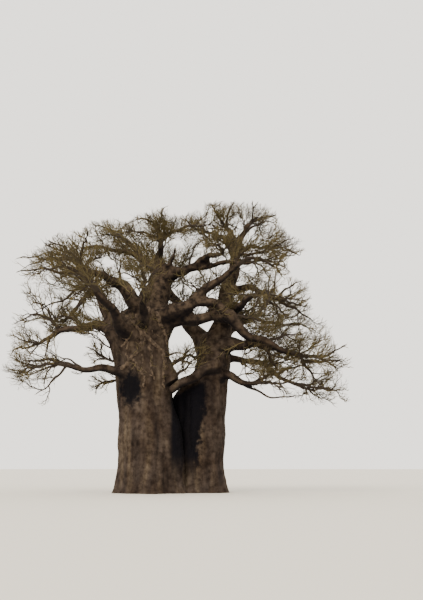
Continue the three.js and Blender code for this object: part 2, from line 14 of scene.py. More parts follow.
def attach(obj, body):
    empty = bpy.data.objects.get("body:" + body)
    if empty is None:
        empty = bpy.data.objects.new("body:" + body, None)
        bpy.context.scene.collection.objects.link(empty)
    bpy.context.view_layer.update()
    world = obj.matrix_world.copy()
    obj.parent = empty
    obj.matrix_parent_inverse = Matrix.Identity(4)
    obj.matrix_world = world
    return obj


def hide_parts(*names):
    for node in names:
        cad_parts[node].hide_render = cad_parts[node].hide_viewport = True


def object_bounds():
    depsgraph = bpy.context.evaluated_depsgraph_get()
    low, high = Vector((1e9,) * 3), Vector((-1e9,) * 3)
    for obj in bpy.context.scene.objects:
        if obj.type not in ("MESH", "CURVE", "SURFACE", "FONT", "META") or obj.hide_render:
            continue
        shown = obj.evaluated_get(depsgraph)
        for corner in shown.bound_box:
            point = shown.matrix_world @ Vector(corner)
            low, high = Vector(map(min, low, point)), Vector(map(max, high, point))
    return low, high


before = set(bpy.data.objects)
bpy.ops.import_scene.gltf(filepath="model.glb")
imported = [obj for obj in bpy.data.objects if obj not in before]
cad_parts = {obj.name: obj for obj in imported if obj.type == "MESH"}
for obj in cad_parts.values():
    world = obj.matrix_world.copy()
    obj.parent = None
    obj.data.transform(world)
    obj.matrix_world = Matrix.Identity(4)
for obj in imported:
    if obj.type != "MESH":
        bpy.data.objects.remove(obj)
solid_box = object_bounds()


# The two trunks
# Each real stem is one swollen barrel of soft fibrous wood under a thin skin. Long folds run down
# it, it leans a little, and its foot spreads where the great roots begin.
FOLDS = 5
FINE_FOLDS = 8
FINE_SHARE = 0.6  # how deep the fine folds are against the others
FOLD_DEPTH = 0.035  # share of the half width
FOOT_FOLDS = 1.5  # how much deeper the folds are at the ground
FLARE = 0.13  # how much wider the foot is, as a share of the half width
FLARE_HEIGHT = 0.55
FOOTING = 0.4  # how far the barrel goes underground, to be cut off flat
HEAD_FLAT = 0.1  # keeps a small flat on top of a trunk's domed head
TRUNK_SIDES = 72
TRUNK_RINGS = 60

# Each level is [height, centre x, centre y, half width, half depth].
TRUNKS = {
    "left_trunk": {
        "turn": 0.4,
        "dome": 0.3,
        "levels": [
            [0, -1.2, -0.1, 2.0, 1.85],
            [0.3, -1.2, -0.1, 2.0, 1.85],
            [0.8, -1.2, -0.1, 2.0, 1.82],
            [1.7, -1.21, -0.1, 1.99, 1.8],
            [2.9, -1.25, -0.1, 1.96, 1.76],
            [4.0, -1.33, -0.1, 1.9, 1.72],
            [4.8, -1.47, -0.05, 1.77, 1.66],
            [5.6, -1.62, 0, 1.64, 1.6],
            [6.9, -1.71, 0, 1.65, 1.58],
            [8.2, -1.94, 0, 1.7, 1.56],
            [9.3, -2.15, 0, 1.86, 1.5],
            [9.9, -2.1, 0, 2.13, 1.48],
            [10.6, -1.72, 0.05, 2.18, 1.36],
            [11.2, -1.72, 0.1, 1.44, 1.18],
            [11.9, -1.4, 0.15, 1.0, 0.95],
        ],
    },
    "right_trunk": {
        "turn": 1.9,
        "dome": 0.35,
        "levels": [
            [0, 1.72, 0.8, 1.7, 1.6],
            [0.3, 1.72, 0.8, 1.66, 1.58],
            [0.8, 1.72, 0.8, 1.6, 1.55],
            [1.7, 1.73, 0.8, 1.56, 1.52],
            [3.2, 1.76, 0.8, 1.58, 1.5],
            [4.6, 1.79, 0.8, 1.62, 1.48],
            [5.7, 1.71, 0.8, 1.73, 1.42],
            [6.6, 2.03, 0.8, 1.45, 1.3],
            [7.3, 2.4, 0.8, 1.16, 1.16],
            [8.2, 2.6, 0.82, 1.06, 1.08],
            [9.1, 2.62, 0.85, 1.08, 1.02],
            [9.7, 2.66, 0.9, 0.85, 0.85],
        ],
    },
}


def trunk_level(trunk, height):
    """A trunk's centre and half sizes at one height or many, on straight lines between its levels."""
    rows = np.array(trunk["levels"])
    return [np.interp(height, rows[:, 0], rows[:, k]) for k in (1, 2, 3, 4)]


def fold_relief(trunk, angle, height):
    """How far the skin stands out at an angle and height, against the plain oval."""
    folds = math.cos(FOLDS * angle + trunk["turn"])
    folds += FINE_SHARE * math.cos(FINE_FOLDS * angle - 2 * trunk["turn"])
    foot = math.exp(-height / FLARE_HEIGHT)
    return 1 + FOLD_DEPTH * folds * (1 + FOOT_FOLDS * foot) + FLARE * foot


def tube(mesh, sides, rings, place):
    """Rolls a grid into a closed tube: place(angle, share) says where each of its points goes."""
    grid = bmesh.ops.create_grid(mesh, x_segments=sides, y_segments=rings, size=0.5)["verts"]
    for vert in grid:
        vert.co = place(2 * math.pi * (vert.co.x + 0.5), vert.co.y + 0.5)
    bmesh.ops.remove_doubles(mesh, verts=grid, dist=1e-5)
    rims = [edge for edge in mesh.edges if edge.is_boundary]
    bmesh.ops.holes_fill(mesh, edges=rims, sides=0)


def add_trunk(mesh, trunk, extra):
    """A trunk's barrel, `extra` outside its true skin, from a little underground to its head."""
    top = trunk["levels"][-1][0]
    head = top + trunk["dome"]

    def place(angle, share):
        height = (head + FOOTING) * share - FOOTING
        x, y, wide, deep = trunk_level(trunk, min(max(height, 0), top))
        past = max(0.0, height - top) / trunk["dome"]
        out = fold_relief(trunk, angle, max(height, 0)) * math.sqrt(max(HEAD_FLAT, 1 - past * past))
        return Vector((
            x + math.sin(angle) * (wide * out + extra),
            y - math.cos(angle) * (deep * out + extra),
            height + extra * past,
        ))

    tube(mesh, TRUNK_SIDES, TRUNK_RINGS, place)


# The boughs
# Each bough is one tapering, crooked limb. It swells into a collar where it leaves the trunk or
# its parent bough, and it stops where it enters its own mass of twigs.
CROOK = 0.02  # how far a bough sways off its curve, as a share of its length
CROOK_WAVES = (9, 14)  # radians of sway along a bough, one way and square to it
COLLAR = 0.35  # how much thicker a bough is where it leaves its parent
COLLAR_FADE = 1.6  # the swelling fades over this many root radii
BURIED = 0.85  # share of a trunk's half width that hides the root of a bough
ENTRY = 0.8  # how far out in its mass's ellipsoid a bough stops
SHORTEST = 0.6  # the least share of a bough that stays
LIMB_STEP = 1.15  # about how far apart the solids' points stand along a bough
BOUGH_SIDES = 16
RING_GAP = 0.12  # between the rings of a bough's tube
TIP_ROUND = 0.45  # a rounded tip's radius at its very end, as a share of the bough's
UP = np.array([0.0, 0.0, 1.0])
WORD = np.uint64(0xFFFFFFFF)  # seeds are whole numbers of 32 bits

# A start on a trunk is a height and a step aside from the trunk's axis; a start on a bough is a
# share of its length. Lift and bow bend the line, and the radius is at the root and at the tip.
# A row may end before its last keys.
LIMB_KEYS = ("name", "root", "at", "tip", "lift", "radius", "aside", "bow")
LIMB_ROWS = [
    ("left_stem", "left_trunk", 10.4, (-0.67, 0.2, 13.88), (-0.5, 0.3), (0.9, 0.52), (0.2, 0.1)),
    ("left_low", "left_trunk", 7.1, (-6.4, -2.6, 7.45), (0.5, -0.3), (0.36, 0.11), (0, -0.2)),
    ("left_mid", "left_trunk", 8.9, (-8.15, 1.6, 9.56), (1.4, 1.6), (0.44, 0.13), (0, 0.1)),
    ("left_high", "left_trunk", 9.0, (-5.94, 2.4, 14.41), (0.4, -0.1), (0.54, 0.2), (-0.85, 0.5)),
    ("left_cross", "left_trunk", 10.2, (-5.1, -2.6, 13.18), (2.2, 0.6), (0.42, 0.16), (0.1, -0.5)),
    ("left_droop", "left_high", 0.62, (-7.54, 3.6, 11.12), (1.7, -0.6), (0.18, 0.08)),
    ("top_left", "left_stem", 0.95, (-3.35, 1.6, 16.57), (-0.6, -0.1), (0.38, 0.13)),
    ("top_mid", "top_left", 0.12, (-0.66, -1.6, 15.76), (0.9, 0), (0.28, 0.11)),
    ("over_limb", "left_stem", 0.86, (1.69, -0.7, 14.14), (-0.2, 0), (0.44, 0.17)),
    ("over_high", "over_limb", 0.96, (3.03, -2.6, 14.54), (0.5, -0.2), (0.24, 0.12)),
    ("left_stub", "left_stem", 0.97, (0.13, -0.95, 15.19), (0.1, -1.0), (0.19, 0.07)),
    ("long_right", "left_trunk", 10.6, (4.14, -2.6, 13.77), (-0.9, 0), (0.46, 0.14), (0.6, -0.6)),
    ("arch", "long_right", 0.33, (3.37, -2.0, 10.73), (0.7, 0.9), (0.28, 0.27)),
    ("right_long", "arch", 0.97, (8, -2.2, 7.64), (-1.3, 0.5), (0.32, 0.12)),
    ("right_stem", "right_trunk", 8.8, (4.24, 0.9, 15.85), (0.2, 0.2), (0.64, 0.27), (0.2, 0.1)),
    ("back_cross", "right_trunk", 8.9, (-0.9, 3.2, 14.37), (0, -0.3), (0.5, 0.2), (-0.4, 0.4)),
    ("top_right_a", "right_stem", 0.95, (3.15, 0.2, 17.48), (0.8, -0.3), (0.2, 0.09)),
    ("top_right_b", "right_stem", 0.97, (5.61, 1.2, 17.9), (0.8, 0.2), (0.2, 0.09)),
    ("top_right_c", "right_stem", 0.86, (2.36, 1.4, 17), (1.0, 0.1), (0.2, 0.09)),
    ("right_upper", "right_stem", 0.9, (6.28, 1.6, 15.95), (0.5, 0.1), (0.18, 0.08)),
    ("right_mid", "right_stem", 0.5, (6.73, -1, 11.69), (1.1, 0.6), (0.3, 0.11)),
    ("right_thin", "right_stem", 0.25, (6.82, 3.4, 11.12), (1.1, -0.1), (0.2, 0.09)),
    ("right_low", "right_trunk", 7.7, (8.15, 2.2, 6.79), (2.0, 0.4), (0.25, 0.1), (0.2, 0)),
    ("right_bottom", "right_trunk", 6.8, (5.75, -1.8, 6.75), (1.2, -1.0), (0.33, 0.09), (0.2, -0.3)),
    ("right_trail", "right_bottom", 0.5, (7.65, -0.8, 5.9), (-0.5, -0.8), (0.1, 0.04)),
    ("cleft", "right_trunk", 8.05, (-0.25, -1.2, 6.0), (0.2, 0.2), (0.36, 0.24), (0.55, -0.75), -0.55),
    ("front_left", "left_trunk", 9.0, (-4.87, -5.2, 12.27), (0.1, -0.3), (0.42, 0.14), (-0.2, -0.5)),
    ("front_mid", "left_trunk", 9.8, (-1.6, -4.2, 12.2), (-0.3, -0.4), (0.36, 0.13), (0.1, -0.6)),
    ("front_right", "right_stem", 0.22, (5.2, -4.4, 11.6), (0.5, 0.3), (0.34, 0.13)),
    ("back_left", "left_trunk", 9.2, (-5.4, 5.0, 13.7), (0.3, -0.3), (0.45, 0.15), (-0.2, 0.5)),
    ("back_right", "right_trunk", 8.6, (5.8, 5.2, 11.9), (1.6, 0.5), (0.42, 0.14), (0.3, 0.3)),
]

# A mass grows on from the tip of the bough that has its name, or out of a trunk at a height and a
# heading in degrees, and keeps inside an ellipsoid with this centre and reach.
MASS_KEYS = ("name", "centre", "reach", "on", "at", "heading", "radius")
MASS_ROWS = [
    ("left_low", (-8.26, -3.2, 6.98), (1.7, 2.6, 1.2)),
    ("left_mid", (-9.46, 2.4, 9.31), (1.7, 2.6, 1.3)),
    ("left_droop", (-8.61, 4.2, 12.07), (2.5, 2.6, 1.2)),
    ("left_high", (-8.34, 3.2, 15.09), (2.7, 3.0, 1.6)),
    ("left_cross", (-5.27, -3.4, 14.29), (1.9, 2.8, 1.4)),
    ("top_left", (-3.92, 2.6, 16.98), (2.2, 3.0, 1.4)),
    ("top_mid", (-0.97, -2.2, 15.98), (1.9, 2.8, 1.5)),
    ("over_high", (2.52, -4, 14.37), (1.5, 2.4, 1.2)),
    ("top_right_c", (1.68, 2.4, 17.22), (1.8, 2.6, 1.5)),
    ("top_right_a", (2.95, -0.2, 17.36), (1.8, 2.7, 1.1)),
    ("top_right_b", (5.71, 1.6, 17.73), (1.5, 2.8, 1.4)),
    ("right_upper", (7.31, 2.4, 16.01), (2.1, 2.6, 1.0)),
    ("long_right", (5.56, -3.6, 13.31), (1.6, 2.6, 1.2)),
    ("right_mid", (7.05, -1.6, 11.64), (1.6, 2.6, 1.4)),
    ("right_thin", (8.25, 4.6, 11.29), (2.4, 2.6, 1.6)),
    ("right_long", (8.71, -3.2, 8.11), (2.0, 3.0, 1.7)),
    ("right_low", (9.7, 3.4, 6.82), (2.2, 2.6, 1.3)),
    ("right_bottom", (6.09, -2.8, 6.41), (1.7, 2.2, 1.0)),
    ("back_cross", (-1.4, 5.4, 15.5), (2.7, 3.1, 1.8)),
    ("front_left", (-5.7, -6.0, 12.3), (2.6, 2.9, 1.7)),
    ("front_mid", (-1.8, -5.6, 12.3), (1.8, 2.8, 1.7)),
    ("front_right", (5.2, -6.0, 11.1), (2.7, 2.9, 1.7)),
    ("back_left", (-6.4, 6.6, 14.6), (3.1, 3.0, 1.9)),
    ("back_right", (6.2, 6.6, 12.6), (3.1, 3.0, 2.0)),
    ("tuft_low", (-4.3, -0.4, 6.5), (1.0, 1.2, 0.8), "left_trunk", 6.9, 183, 0.09),
    ("tuft_side", (-4.6, 0.7, 8.7), (1.1, 1.3, 1.0), "left_trunk", 8.0, 168, 0.09),
    ("cleft", (0.35, -1.8, 7.8), (1.0, 1.2, 1.3), "right_trunk", 8.3, 215, 0.1),
]
LIMBS = [dict(zip(LIMB_KEYS, row)) for row in LIMB_ROWS]
MASSES = [{"on": row[0], **dict(zip(MASS_KEYS, row))} for row in MASS_ROWS]


def draw(seed, place):
    """Numbers from 0 to 1 that depend only on whole-number seeds and a place in their row."""
    bits = (np.asarray(seed, np.uint64) + np.uint64(place + 1) * np.uint64(0x9E3779B1)) & WORD
    bits = ((bits ^ (bits >> np.uint64(16))) * np.uint64(0x85EBCA6B)) & WORD
    bits = ((bits ^ (bits >> np.uint64(13))) * np.uint64(0xC2B2AE35)) & WORD
    return (bits ^ (bits >> np.uint64(16))) / 2**32


def unit(vectors):
    return vectors / np.maximum(np.linalg.norm(vectors, axis=-1, keepdims=True), 1e-12)


def square_to(direction):
    """Two unit vectors square to each direction and to each other."""
    helper = np.where(np.abs(direction[..., 2:]) > 0.9, np.array([1.0, 0, 0]), UP)
    across = unit(np.cross(direction, helper))
    return across, np.cross(across, direction)


def depth_in(mass, points):
    """How far out points lie in a mass's ellipsoid: 0 at the centre, 1 at the skin."""
    return np.linalg.norm((points - np.array(mass["centre"])) / np.array(mass["reach"]), axis=-1)


def lay_out(limb, index, limbs):
    """Adds to a bough its line, its radius along the line, and the coarse points of its solid."""
    if limb["root"] in TRUNKS:
        x, y, wide, _ = trunk_level(TRUNKS[limb["root"]], limb["at"])
        aside = limb.get("aside", (0, 0))
        start = np.array([x + aside[0], y + aside[1], limb["at"]])
        buried = wide * BURIED
    else:
        start = limbs[limb["root"]]["point_at"](limb["at"])
        buried = limbs[limb["root"]]["radius_at"](limb["at"])
    tip = np.array(limb["tip"], float)
    chord = tip - start
    bow = limb.get("bow", 0) * unit(np.cross(chord, UP))
    near = start + chord / 3 + limb["lift"][0] * UP + bow
    far = start + chord * 2 / 3 + limb["lift"][1] * UP + bow

    def bezier(t):
        return (1 - t) ** 3 * start + 3 * (1 - t) ** 2 * t * near + 3 * (1 - t) * t * t * far + t**3 * tip

    fine = np.array([bezier(t) for t in np.linspace(0, 1, 201)])
    length = float(np.linalg.norm(np.diff(fine, axis=0), axis=1).sum())
    a, b = square_to(unit(chord))
    turn = 2 * math.pi * draw(index, 0)
    other = 2 * math.pi * draw(index, 1)

    def point_at(t):
        sway = CROOK * length * 4 * t * (1 - t)
        first, second = CROOK_WAVES
        return bezier(t) + sway * math.sin(first * t + turn) * a + sway * math.sin(second * t + other) * b

    def radius_at(t):
        root, end = limb["radius"]
        out = max(0.0, t * length - buried)
        return (end + (root - end) * (1 - t)) * (1 + COLLAR * math.exp(-out / (COLLAR_FADE * root)))

    mass = next((row for row in MASSES if row["on"] == limb["name"]), None)
    stop = 1.0
    while mass and stop > SHORTEST and depth_in(mass, point_at(stop)) < ENTRY:
        stop -= 0.02
    count = max(4, int(length * stop / LIMB_STEP + 0.5))
    shares = [stop * i / count for i in range(count + 1)]
    limb.update(point_at=point_at, radius_at=radius_at, stop=stop, bark_end=stop, length=length)
    limb["points"] = np.array([point_at(t) for t in shares])
    limb["radii"] = np.array([radius_at(t) for t in shares])
    limbs[limb["name"]] = limb


limbs = {}
for index, limb in enumerate(LIMBS):
    lay_out(limb, index, limbs)


def add_bough(mesh, limb, extra):
    """A bough's tube, standing `extra` outside its true skin."""
    rings = max(12, int(limb["length"] * limb["bark_end"] / RING_GAP))
    shares = np.linspace(0, limb["bark_end"], rings + 1)
    line = np.array([limb["point_at"](t) for t in shares])
    forward = unit(np.gradient(line, axis=0))
    across = [square_to(forward[0])[0]]
    for i in range(1, rings + 1):
        across.append(unit(across[-1] - forward[i] * (across[-1] @ forward[i])))
    across = np.array(across)
    second = np.cross(forward, across)

    def place(angle, share):
        i = int(share * rings + 0.5)
        left = (1 - shares[i]) * limb["length"]
        rounding = min(1.0, TIP_ROUND + left / RING_GAP)
        radius = limb["radius_at"](shares[i]) * rounding + extra
        return Vector(line[i] + radius * (math.cos(angle) * across[i] + math.sin(angle) * second[i]))

    tube(mesh, BOUGH_SIDES, rings, place)


# The side boughs
# Between the main boughs and the twigs stand side boughs, mostly as thick as an arm or a leg. They
# are placed one by one as the picture shows them, in rows like those of the boughs.
LEAST_BARKED = 0.06  # thinner wood than this is left to the twigs
ALL_TWIG = 0.1  # a side bough with a thinner root has no part in the bark
SIDE_ROWS = [
    ("left_upper", "left_stem", 0.96, (-6.0, -0.4, 15.1), (0.9, 0.9), (0.22, 0.07)),
    ("left_long", "left_high", 0.97, (-10.55, 3, 14.32), (-0.2, 0.6), (0.15, 0.03)),
    ("left_fan", "left_high", 0.98, (-9.2, 3.4, 15.55), (0.8, 0.9), (0.11, 0.03)),
    ("left_fan_high", "left_high", 0.99, (-8.39, 2, 16.33), (0.9, 0.3), (0.11, 0.03)),
    ("left_level", "left_high", 0.84, (-9.2, 2.6, 11.72), (-0.2, -0.5), (0.09, 0.02)),
    ("left_drop", "left_high", 0.77, (-7.13, 1.6, 10.87), (-0.1, -0.4), (0.1, 0.04)),
    ("left_whip", "left_mid", 0.84, (-9.38, 1.4, 12.71), (0.0, 0.5), (0.06, 0.015)),
    ("left_arm", "left_mid", 0.86, (-10.47, 2.2, 10.63), (1.6, 0.7), (0.08, 0.02)),
    ("left_hang", "left_mid", 0.96, (-8.23, 1.8, 8.39), (0.0, 0.0), (0.07, 0.02)),
    ("low_upper", "left_low", 0.86, (-8.88, -2.4, 7.68), (0.5, 0.2), (0.1, 0.03)),
    ("low_drop", "left_low", 0.97, (-8.01, -3, 5.65), (-0.2, -0.3), (0.06, 0.02)),
    ("arch_low", "left_trunk", 10.3, (4.1, -1.7, 10.35), (0.3, 0.45), (0.32, 0.3), (1.2, -0.5)),
    ("cross_riser", "left_cross", 0.45, (-3.27, -1.4, 14.3), (0.0, 0.0), (0.07, 0.03)),
    ("over_long", "over_limb", 0.75, (6.83, -2.8, 13.51), (0.0, 0.9), (0.2, 0.04)),
    ("top_band", "top_mid", 0.73, (2.46, -1, 16.66), (0.9, 0.3), (0.09, 0.03)),
    ("top_west", "top_mid", 0.82, (-2.91, -1.4, 16.14), (0.4, 0.0), (0.09, 0.03)),
    ("upper_twin", "right_stem", 0.9, (6.47, -1.4, 15.23), (-0.2, -0.4), (0.13, 0.04)),
    ("crest_right", "top_right_b", 0.28, (6.4, 1, 17.6), (0.2, 0.2), (0.08, 0.02)),
    ("mid_on", "right_mid", 0.97, (8.73, -1, 10.52), (0.1, 0.1), (0.1, 0.03)),
    ("mid_tuft", "right_mid", 0.93, (8.17, -1.2, 13.08), (0.4, 0.1), (0.07, 0.02)),
    ("thin_twin", "right_thin", 0.31, (6.78, 1.8, 12.12), (0.3, 0.2), (0.08, 0.02)),
    ("long_twin", "right_trunk", 8.9, (6.3, -1.6, 8.6), (0.45, 0.4), (0.42, 0.15), (0.3, -0.5)),
    ("long_on", "right_long", 0.97, (10.27, -2.6, 7.9), (0.0, -0.1), (0.1, 0.03)),
    ("long_drop", "right_long", 0.96, (8.89, -2.6, 6.24), (0.0, 0.0), (0.08, 0.02)),
    ("long_link", "right_long", 0.46, (6.45, -1.4, 7.26), (-0.5, 0.0), (0.11, 0.06)),
    ("low_link", "right_low", 0.75, (8.7, 1.2, 7.94), (0.3, 0.2), (0.09, 0.03)),
    ("low_on", "right_low", 0.97, (10.84, 2.6, 6.5), (0.0, 0.0), (0.09, 0.03)),
    ("bottom_up", "right_bottom", 0.78, (6.5, -0.8, 7.3), (0.1, 0.1), (0.12, 0.06)),
    ("shoulder", "left_trunk", 8.3, (0.1, -0.9, 6.45), (0.0, 0.0), (0.45, 0.42), (0.95, -0.5)),
    ("sill_high", "shoulder", 0.5, (1.1, -1.0, 8.75), (-0.1, -0.3), (0.09, 0.03)),
    ("sill_low", "shoulder", 0.85, (1.3, -1.2, 8.0), (0.1, -0.2), (0.1, 0.03)),
    ("sill_side", "left_trunk", 8.3, (0.75, -1.1, 8.35), (0.1, 0.2), (0.07, 0.02), (1.45, -0.4)),
    ("low_fill", "right_low", 0.3, (4.7, -0.4, 7.7), (-0.2, -0.1), (0.08, 0.03)),
    ("twin_fill", "long_twin", 0.35, (5.5, -1.4, 9.5), (0.1, 0.1), (0.08, 0.03)),
    ("crest_left", "right_stem", 0.96, (1.58, 0.2, 16.57), (0.3, -0.4), (0.08, 0.025)),
    ("crest_mid", "over_limb", 0.71, (1.43, -0.8, 15.49), (0.5, 0.0), (0.06, 0.02)),
    ("gap_left", "over_limb", 0.55, (0.62, -1.0, 12.26), (0.2, 0.0), (0.06, 0.02)),
    ("gap_right", "over_limb", 0.94, (2.05, -1.2, 12.75), (-0.2, 0.1), (0.06, 0.02)),
    ("long_riser", "long_right", 0.53, (0.98, -1.6, 12.96), (0.1, -0.2), (0.06, 0.02)),
    ("inner_left", "left_high", 0.7, (-3.93, 1.4, 13.72), (-0.1, -0.1), (0.08, 0.03)),
    ("arch_spray", "right_long", 0.04, (5.4, -2.4, 10.16), (0.2, 0.2), (0.09, 0.03)),
    ("mid_low", "right_mid", 0.63, (7.1, -1.6, 10.56), (0.0, 0.1), (0.09, 0.03)),
    ("long_spray", "right_long", 0.49, (7.64, -2.8, 9.38), (0.0, 0.2), (0.08, 0.025)),
    ("low_spray", "right_low", 0.5, (7.57, 1.2, 8.05), (0.1, 0.0), (0.07, 0.02)),
    ("mid_spray", "left_mid", 0.59, (-7.23, 1.0, 11.1), (0.2, 0.2), (0.07, 0.02)),
    ("mid_back", "left_mid", 0.7, (-7.89, 2.4, 9.95), (0.2, 0.0), (0.06, 0.02)),
    ("low_back", "left_low", 0.77, (-7.23, -1.0, 8.19), (0.3, 0.2), (0.06, 0.02)),
    ("fan_right", "right_upper", 0.84, (7.41, 2.0, 15.01), (0.6, -0.1), (0.07, 0.02)),
    ("flank_low", "left_trunk", 8.3, (-5.1, -0.8, 9.7), (-0.2, 0.1), (0.05, 0.02), (-1.2, -0.4)),
    ("flank_high", "left_trunk", 8.8, (-5.0, -0.5, 10.1), (-0.1, 0.2), (0.05, 0.02), (-1.3, -0.3)),
]
SIDE_BOUGHS = [dict(zip(LIMB_KEYS, row)) for row in SIDE_ROWS]
for index, limb in enumerate(SIDE_BOUGHS):
    lay_out(limb, index + len(LIMBS), limbs)
    root, end = limb["radius"]
    limb["bark_end"] = min(1.0, (root - LEAST_BARKED) / (root - end)) if root > ALL_TWIG else 0


# The bark
# Thin living bark, smooth and dusty, is stretched over the barrel and its boughs. Every fork closes
# in a soft web, long folds run down the sides, and old scars and creases make it lumpy.
VOXEL = {"left_trunk": 0.069, "right_trunk": 0.06}  # keeps each skin under 200,000 triangles
WEB = 0.11  # the wood is fused this much too thick and then thinned again, which leaves webs in its forks


def stem_of(limb):
    """The trunk that a bough belongs to, however many boughs lie between them."""
    while limb["root"] not in TRUNKS:
        limb = limbs[limb["root"]]
    return limb["root"]


def linear(colour):
    """A hex colour as it is seen, turned to the linear numbers that shaders take."""
    channels = [int(colour[i : i + 2], 16) / 255 for i in (1, 3, 5)]
    return tuple(c / 12.92 if c <= 0.04045 else ((c + 0.055) / 1.055) ** 2.4 for c in channels) + (1.0,)


def new_material(name):
    material = bpy.data.materials.new(name)
    material.use_nodes = True
    material.node_tree.nodes.clear()
    return material


def add_node(material, kind, inputs, ramp=(), **settings):
    """Adds a shader node, with its settings, its colour ramp, and values or links on its inputs."""
    node = material.node_tree.nodes.new(kind)
    for name, value in settings.items():
        setattr(node, name, value)
    for name, value in inputs.items():
        if isinstance(value, bpy.types.NodeSocket):
            material.node_tree.links.new(value, node.inputs[name])
        else:
            node.inputs[name].default_value = value
    for i, (position, colour) in enumerate(ramp):
        stops = node.color_ramp.elements
        stop = stops[i] if i < 2 else stops.new(position)
        stop.position = position
        stop.color = linear(colour)
    return node


# Grey-brown baobab bark: a dull, dusty skin with rain bands some 600 mm wide down the barrel, worn
# patches and spots. It is darker in the crown, which is painted shade.
bark = new_material("grey-brown baobab bark")
surface_place = add_node(bark, "ShaderNodeTexCoord", {})
place = surface_place.outputs["Object"]
x_y_z = add_node(bark, "ShaderNodeSeparateXYZ", {"Vector": place})
right, back, height = (x_y_z.outputs[axis] for axis in ("X", "Y", "Z"))
hanging = add_node(bark, "ShaderNodeMapping", {"Vector": place, "Scale": (1, 1, 0.13)}).outputs["Vector"]

# Each pattern is noise on its coordinates, with patches of a size in metres, a detail and a roughness.
PATTERNS = {
    "bands": (hanging, 0.6, 4.0, 0.5),
    "patches": (place, 1.4, 4.0, 0.55),
    "mottles": (place, 0.32, 5.0, 0.6),
    "wrinkles": (hanging, 0.09, 5.0, 0.6),
    "pores": (place, 0.025, 2.0, 0.5),  # real pores are 5 mm, drawn coarser so that they show
}
patterns = {}
for name, (vector, size, detail, roughness) in PATTERNS.items():
    inputs = {"Vector": vector, "Scale": 1 / size, "Detail": detail, "Roughness": roughness}
    patterns[name] = add_node(bark, "ShaderNodeTexNoise", inputs).outputs["Fac"]

# Each tint follows one pattern from dark to light.
TINTS = {
    "barrel": ("bands", [(0.3, "#302926"), (0.72, "#645849"), (0.5, "#483e37")]),
    "worn": ("patches", [(0.36, "#b0a298"), (0.62, "#ffffff")]),
    "spots": ("mottles", [(0.35, "#857a72"), (0.62, "#ffffff")]),
    # painted shade: the dark tint that the bark takes in the crown
    "crown": ("mottles", [(0.37, "#1a1513"), (0.63, "#4d4136")]),
}
tints = {}
for name, (pattern, ramp) in TINTS.items():
    tints[name] = add_node(bark, "ShaderNodeValToRGB", {"Fac": patterns[pattern]}, ramp=ramp).outputs["Color"]

# Painted shade, nearly black: in the recess between the two stems under the bough that crosses it,
# a painted shadow on the flank under the lowest left bough, and painted shade on the undersides that
# face down. Noise makes their edges ragged.
ragged = add_node(
    bark, "ShaderNodeMapRange", {"Value": patterns["mottles"], "To Min": -0.6, "To Max": 0.6}
).outputs["Result"]
wider = add_node(
    bark,
    "ShaderNodeMapRange",
    {"Value": height, "From Min": 2.0, "From Max": 5.6, "To Min": 0.0, "To Max": 0.45},
    interpolation_type="SMOOTHSTEP",
).outputs["Result"]
across = add_node(bark, "ShaderNodeMath", {0: right, 1: ragged}, operation="ADD").outputs["Value"]
past_edge = add_node(bark, "ShaderNodeMath", {0: across, 1: wider}, operation="SUBTRACT").outputs["Value"]
under_bough = add_node(
    bark, "ShaderNodeMath", {0: right, 1: -0.5, 2: height}, operation="MULTIPLY_ADD"
).outputs["Value"]
# The painted shadow on the flank is an oval round a point under the lowest left bough.
shadow_place = place
for change in ({"Location": (2.5, 0, -6.25)}, {"Scale": (1.1, 0, 0.75)}):
    shadow_place = add_node(bark, "ShaderNodeMapping", {"Vector": shadow_place, **change}).outputs["Vector"]
far_off = add_node(bark, "ShaderNodeVectorMath", {0: shadow_place}, operation="LENGTH").outputs["Value"]
flank_edge = add_node(bark, "ShaderNodeMath", {0: far_off, 1: ragged}, operation="ADD").outputs["Value"]
# Bark that faces down gets painted shade.
downward = add_node(bark, "ShaderNodeSeparateXYZ", {"Vector": surface_place.outputs["Normal"]}).outputs["Z"]

# Each mask is a strength times its fades, and a fade is 1 where its value is at the first number and
# 0 where it is at the second. Aloft the bark takes the crown's tint as painted shade, and the others
# are painted shade and painted shadow.
MASKS = {
    # painted shade: the bark grows darker between 7.5 m and 12 m up
    "aloft_shade": (1.0, [(height, 12.0, 7.5)]),
    "recess": (0.96, [(past_edge, 1.4, 1.8), (under_bough, 5.65, 6.0), (right, 0.1, -0.25),
                      (back, 0.4, 1.2), (height, 2.4, 0.2)]),
    "flank": (0.96, [(flank_edge, 0.5, 1.05), (back, -0.4, 0.2)]),
    "underside_shade": (0.816, [(downward, -0.75, 0.0)]),
}
masks = {}
for name, (strength, fades) in MASKS.items():
    masks[name] = strength
    for value, near, far in fades:
        inputs = {"Value": value, "From Min": far, "From Max": near}
        fade = add_node(bark, "ShaderNodeMapRange", inputs, interpolation_type="SMOOTHSTEP").outputs["Result"]
        product = add_node(bark, "ShaderNodeMath", {0: masks[name], 1: fade}, operation="MULTIPLY")
        masks[name] = product.outputs["Value"]
# All the painted shade and painted shadow in one mask.
painted_shade = masks["recess"]
for name in ("flank", "underside_shade"):
    painted_shade = add_node(bark, "ShaderNodeMath", {0: painted_shade, 1: masks[name]}, operation="MAXIMUM").outputs["Value"]

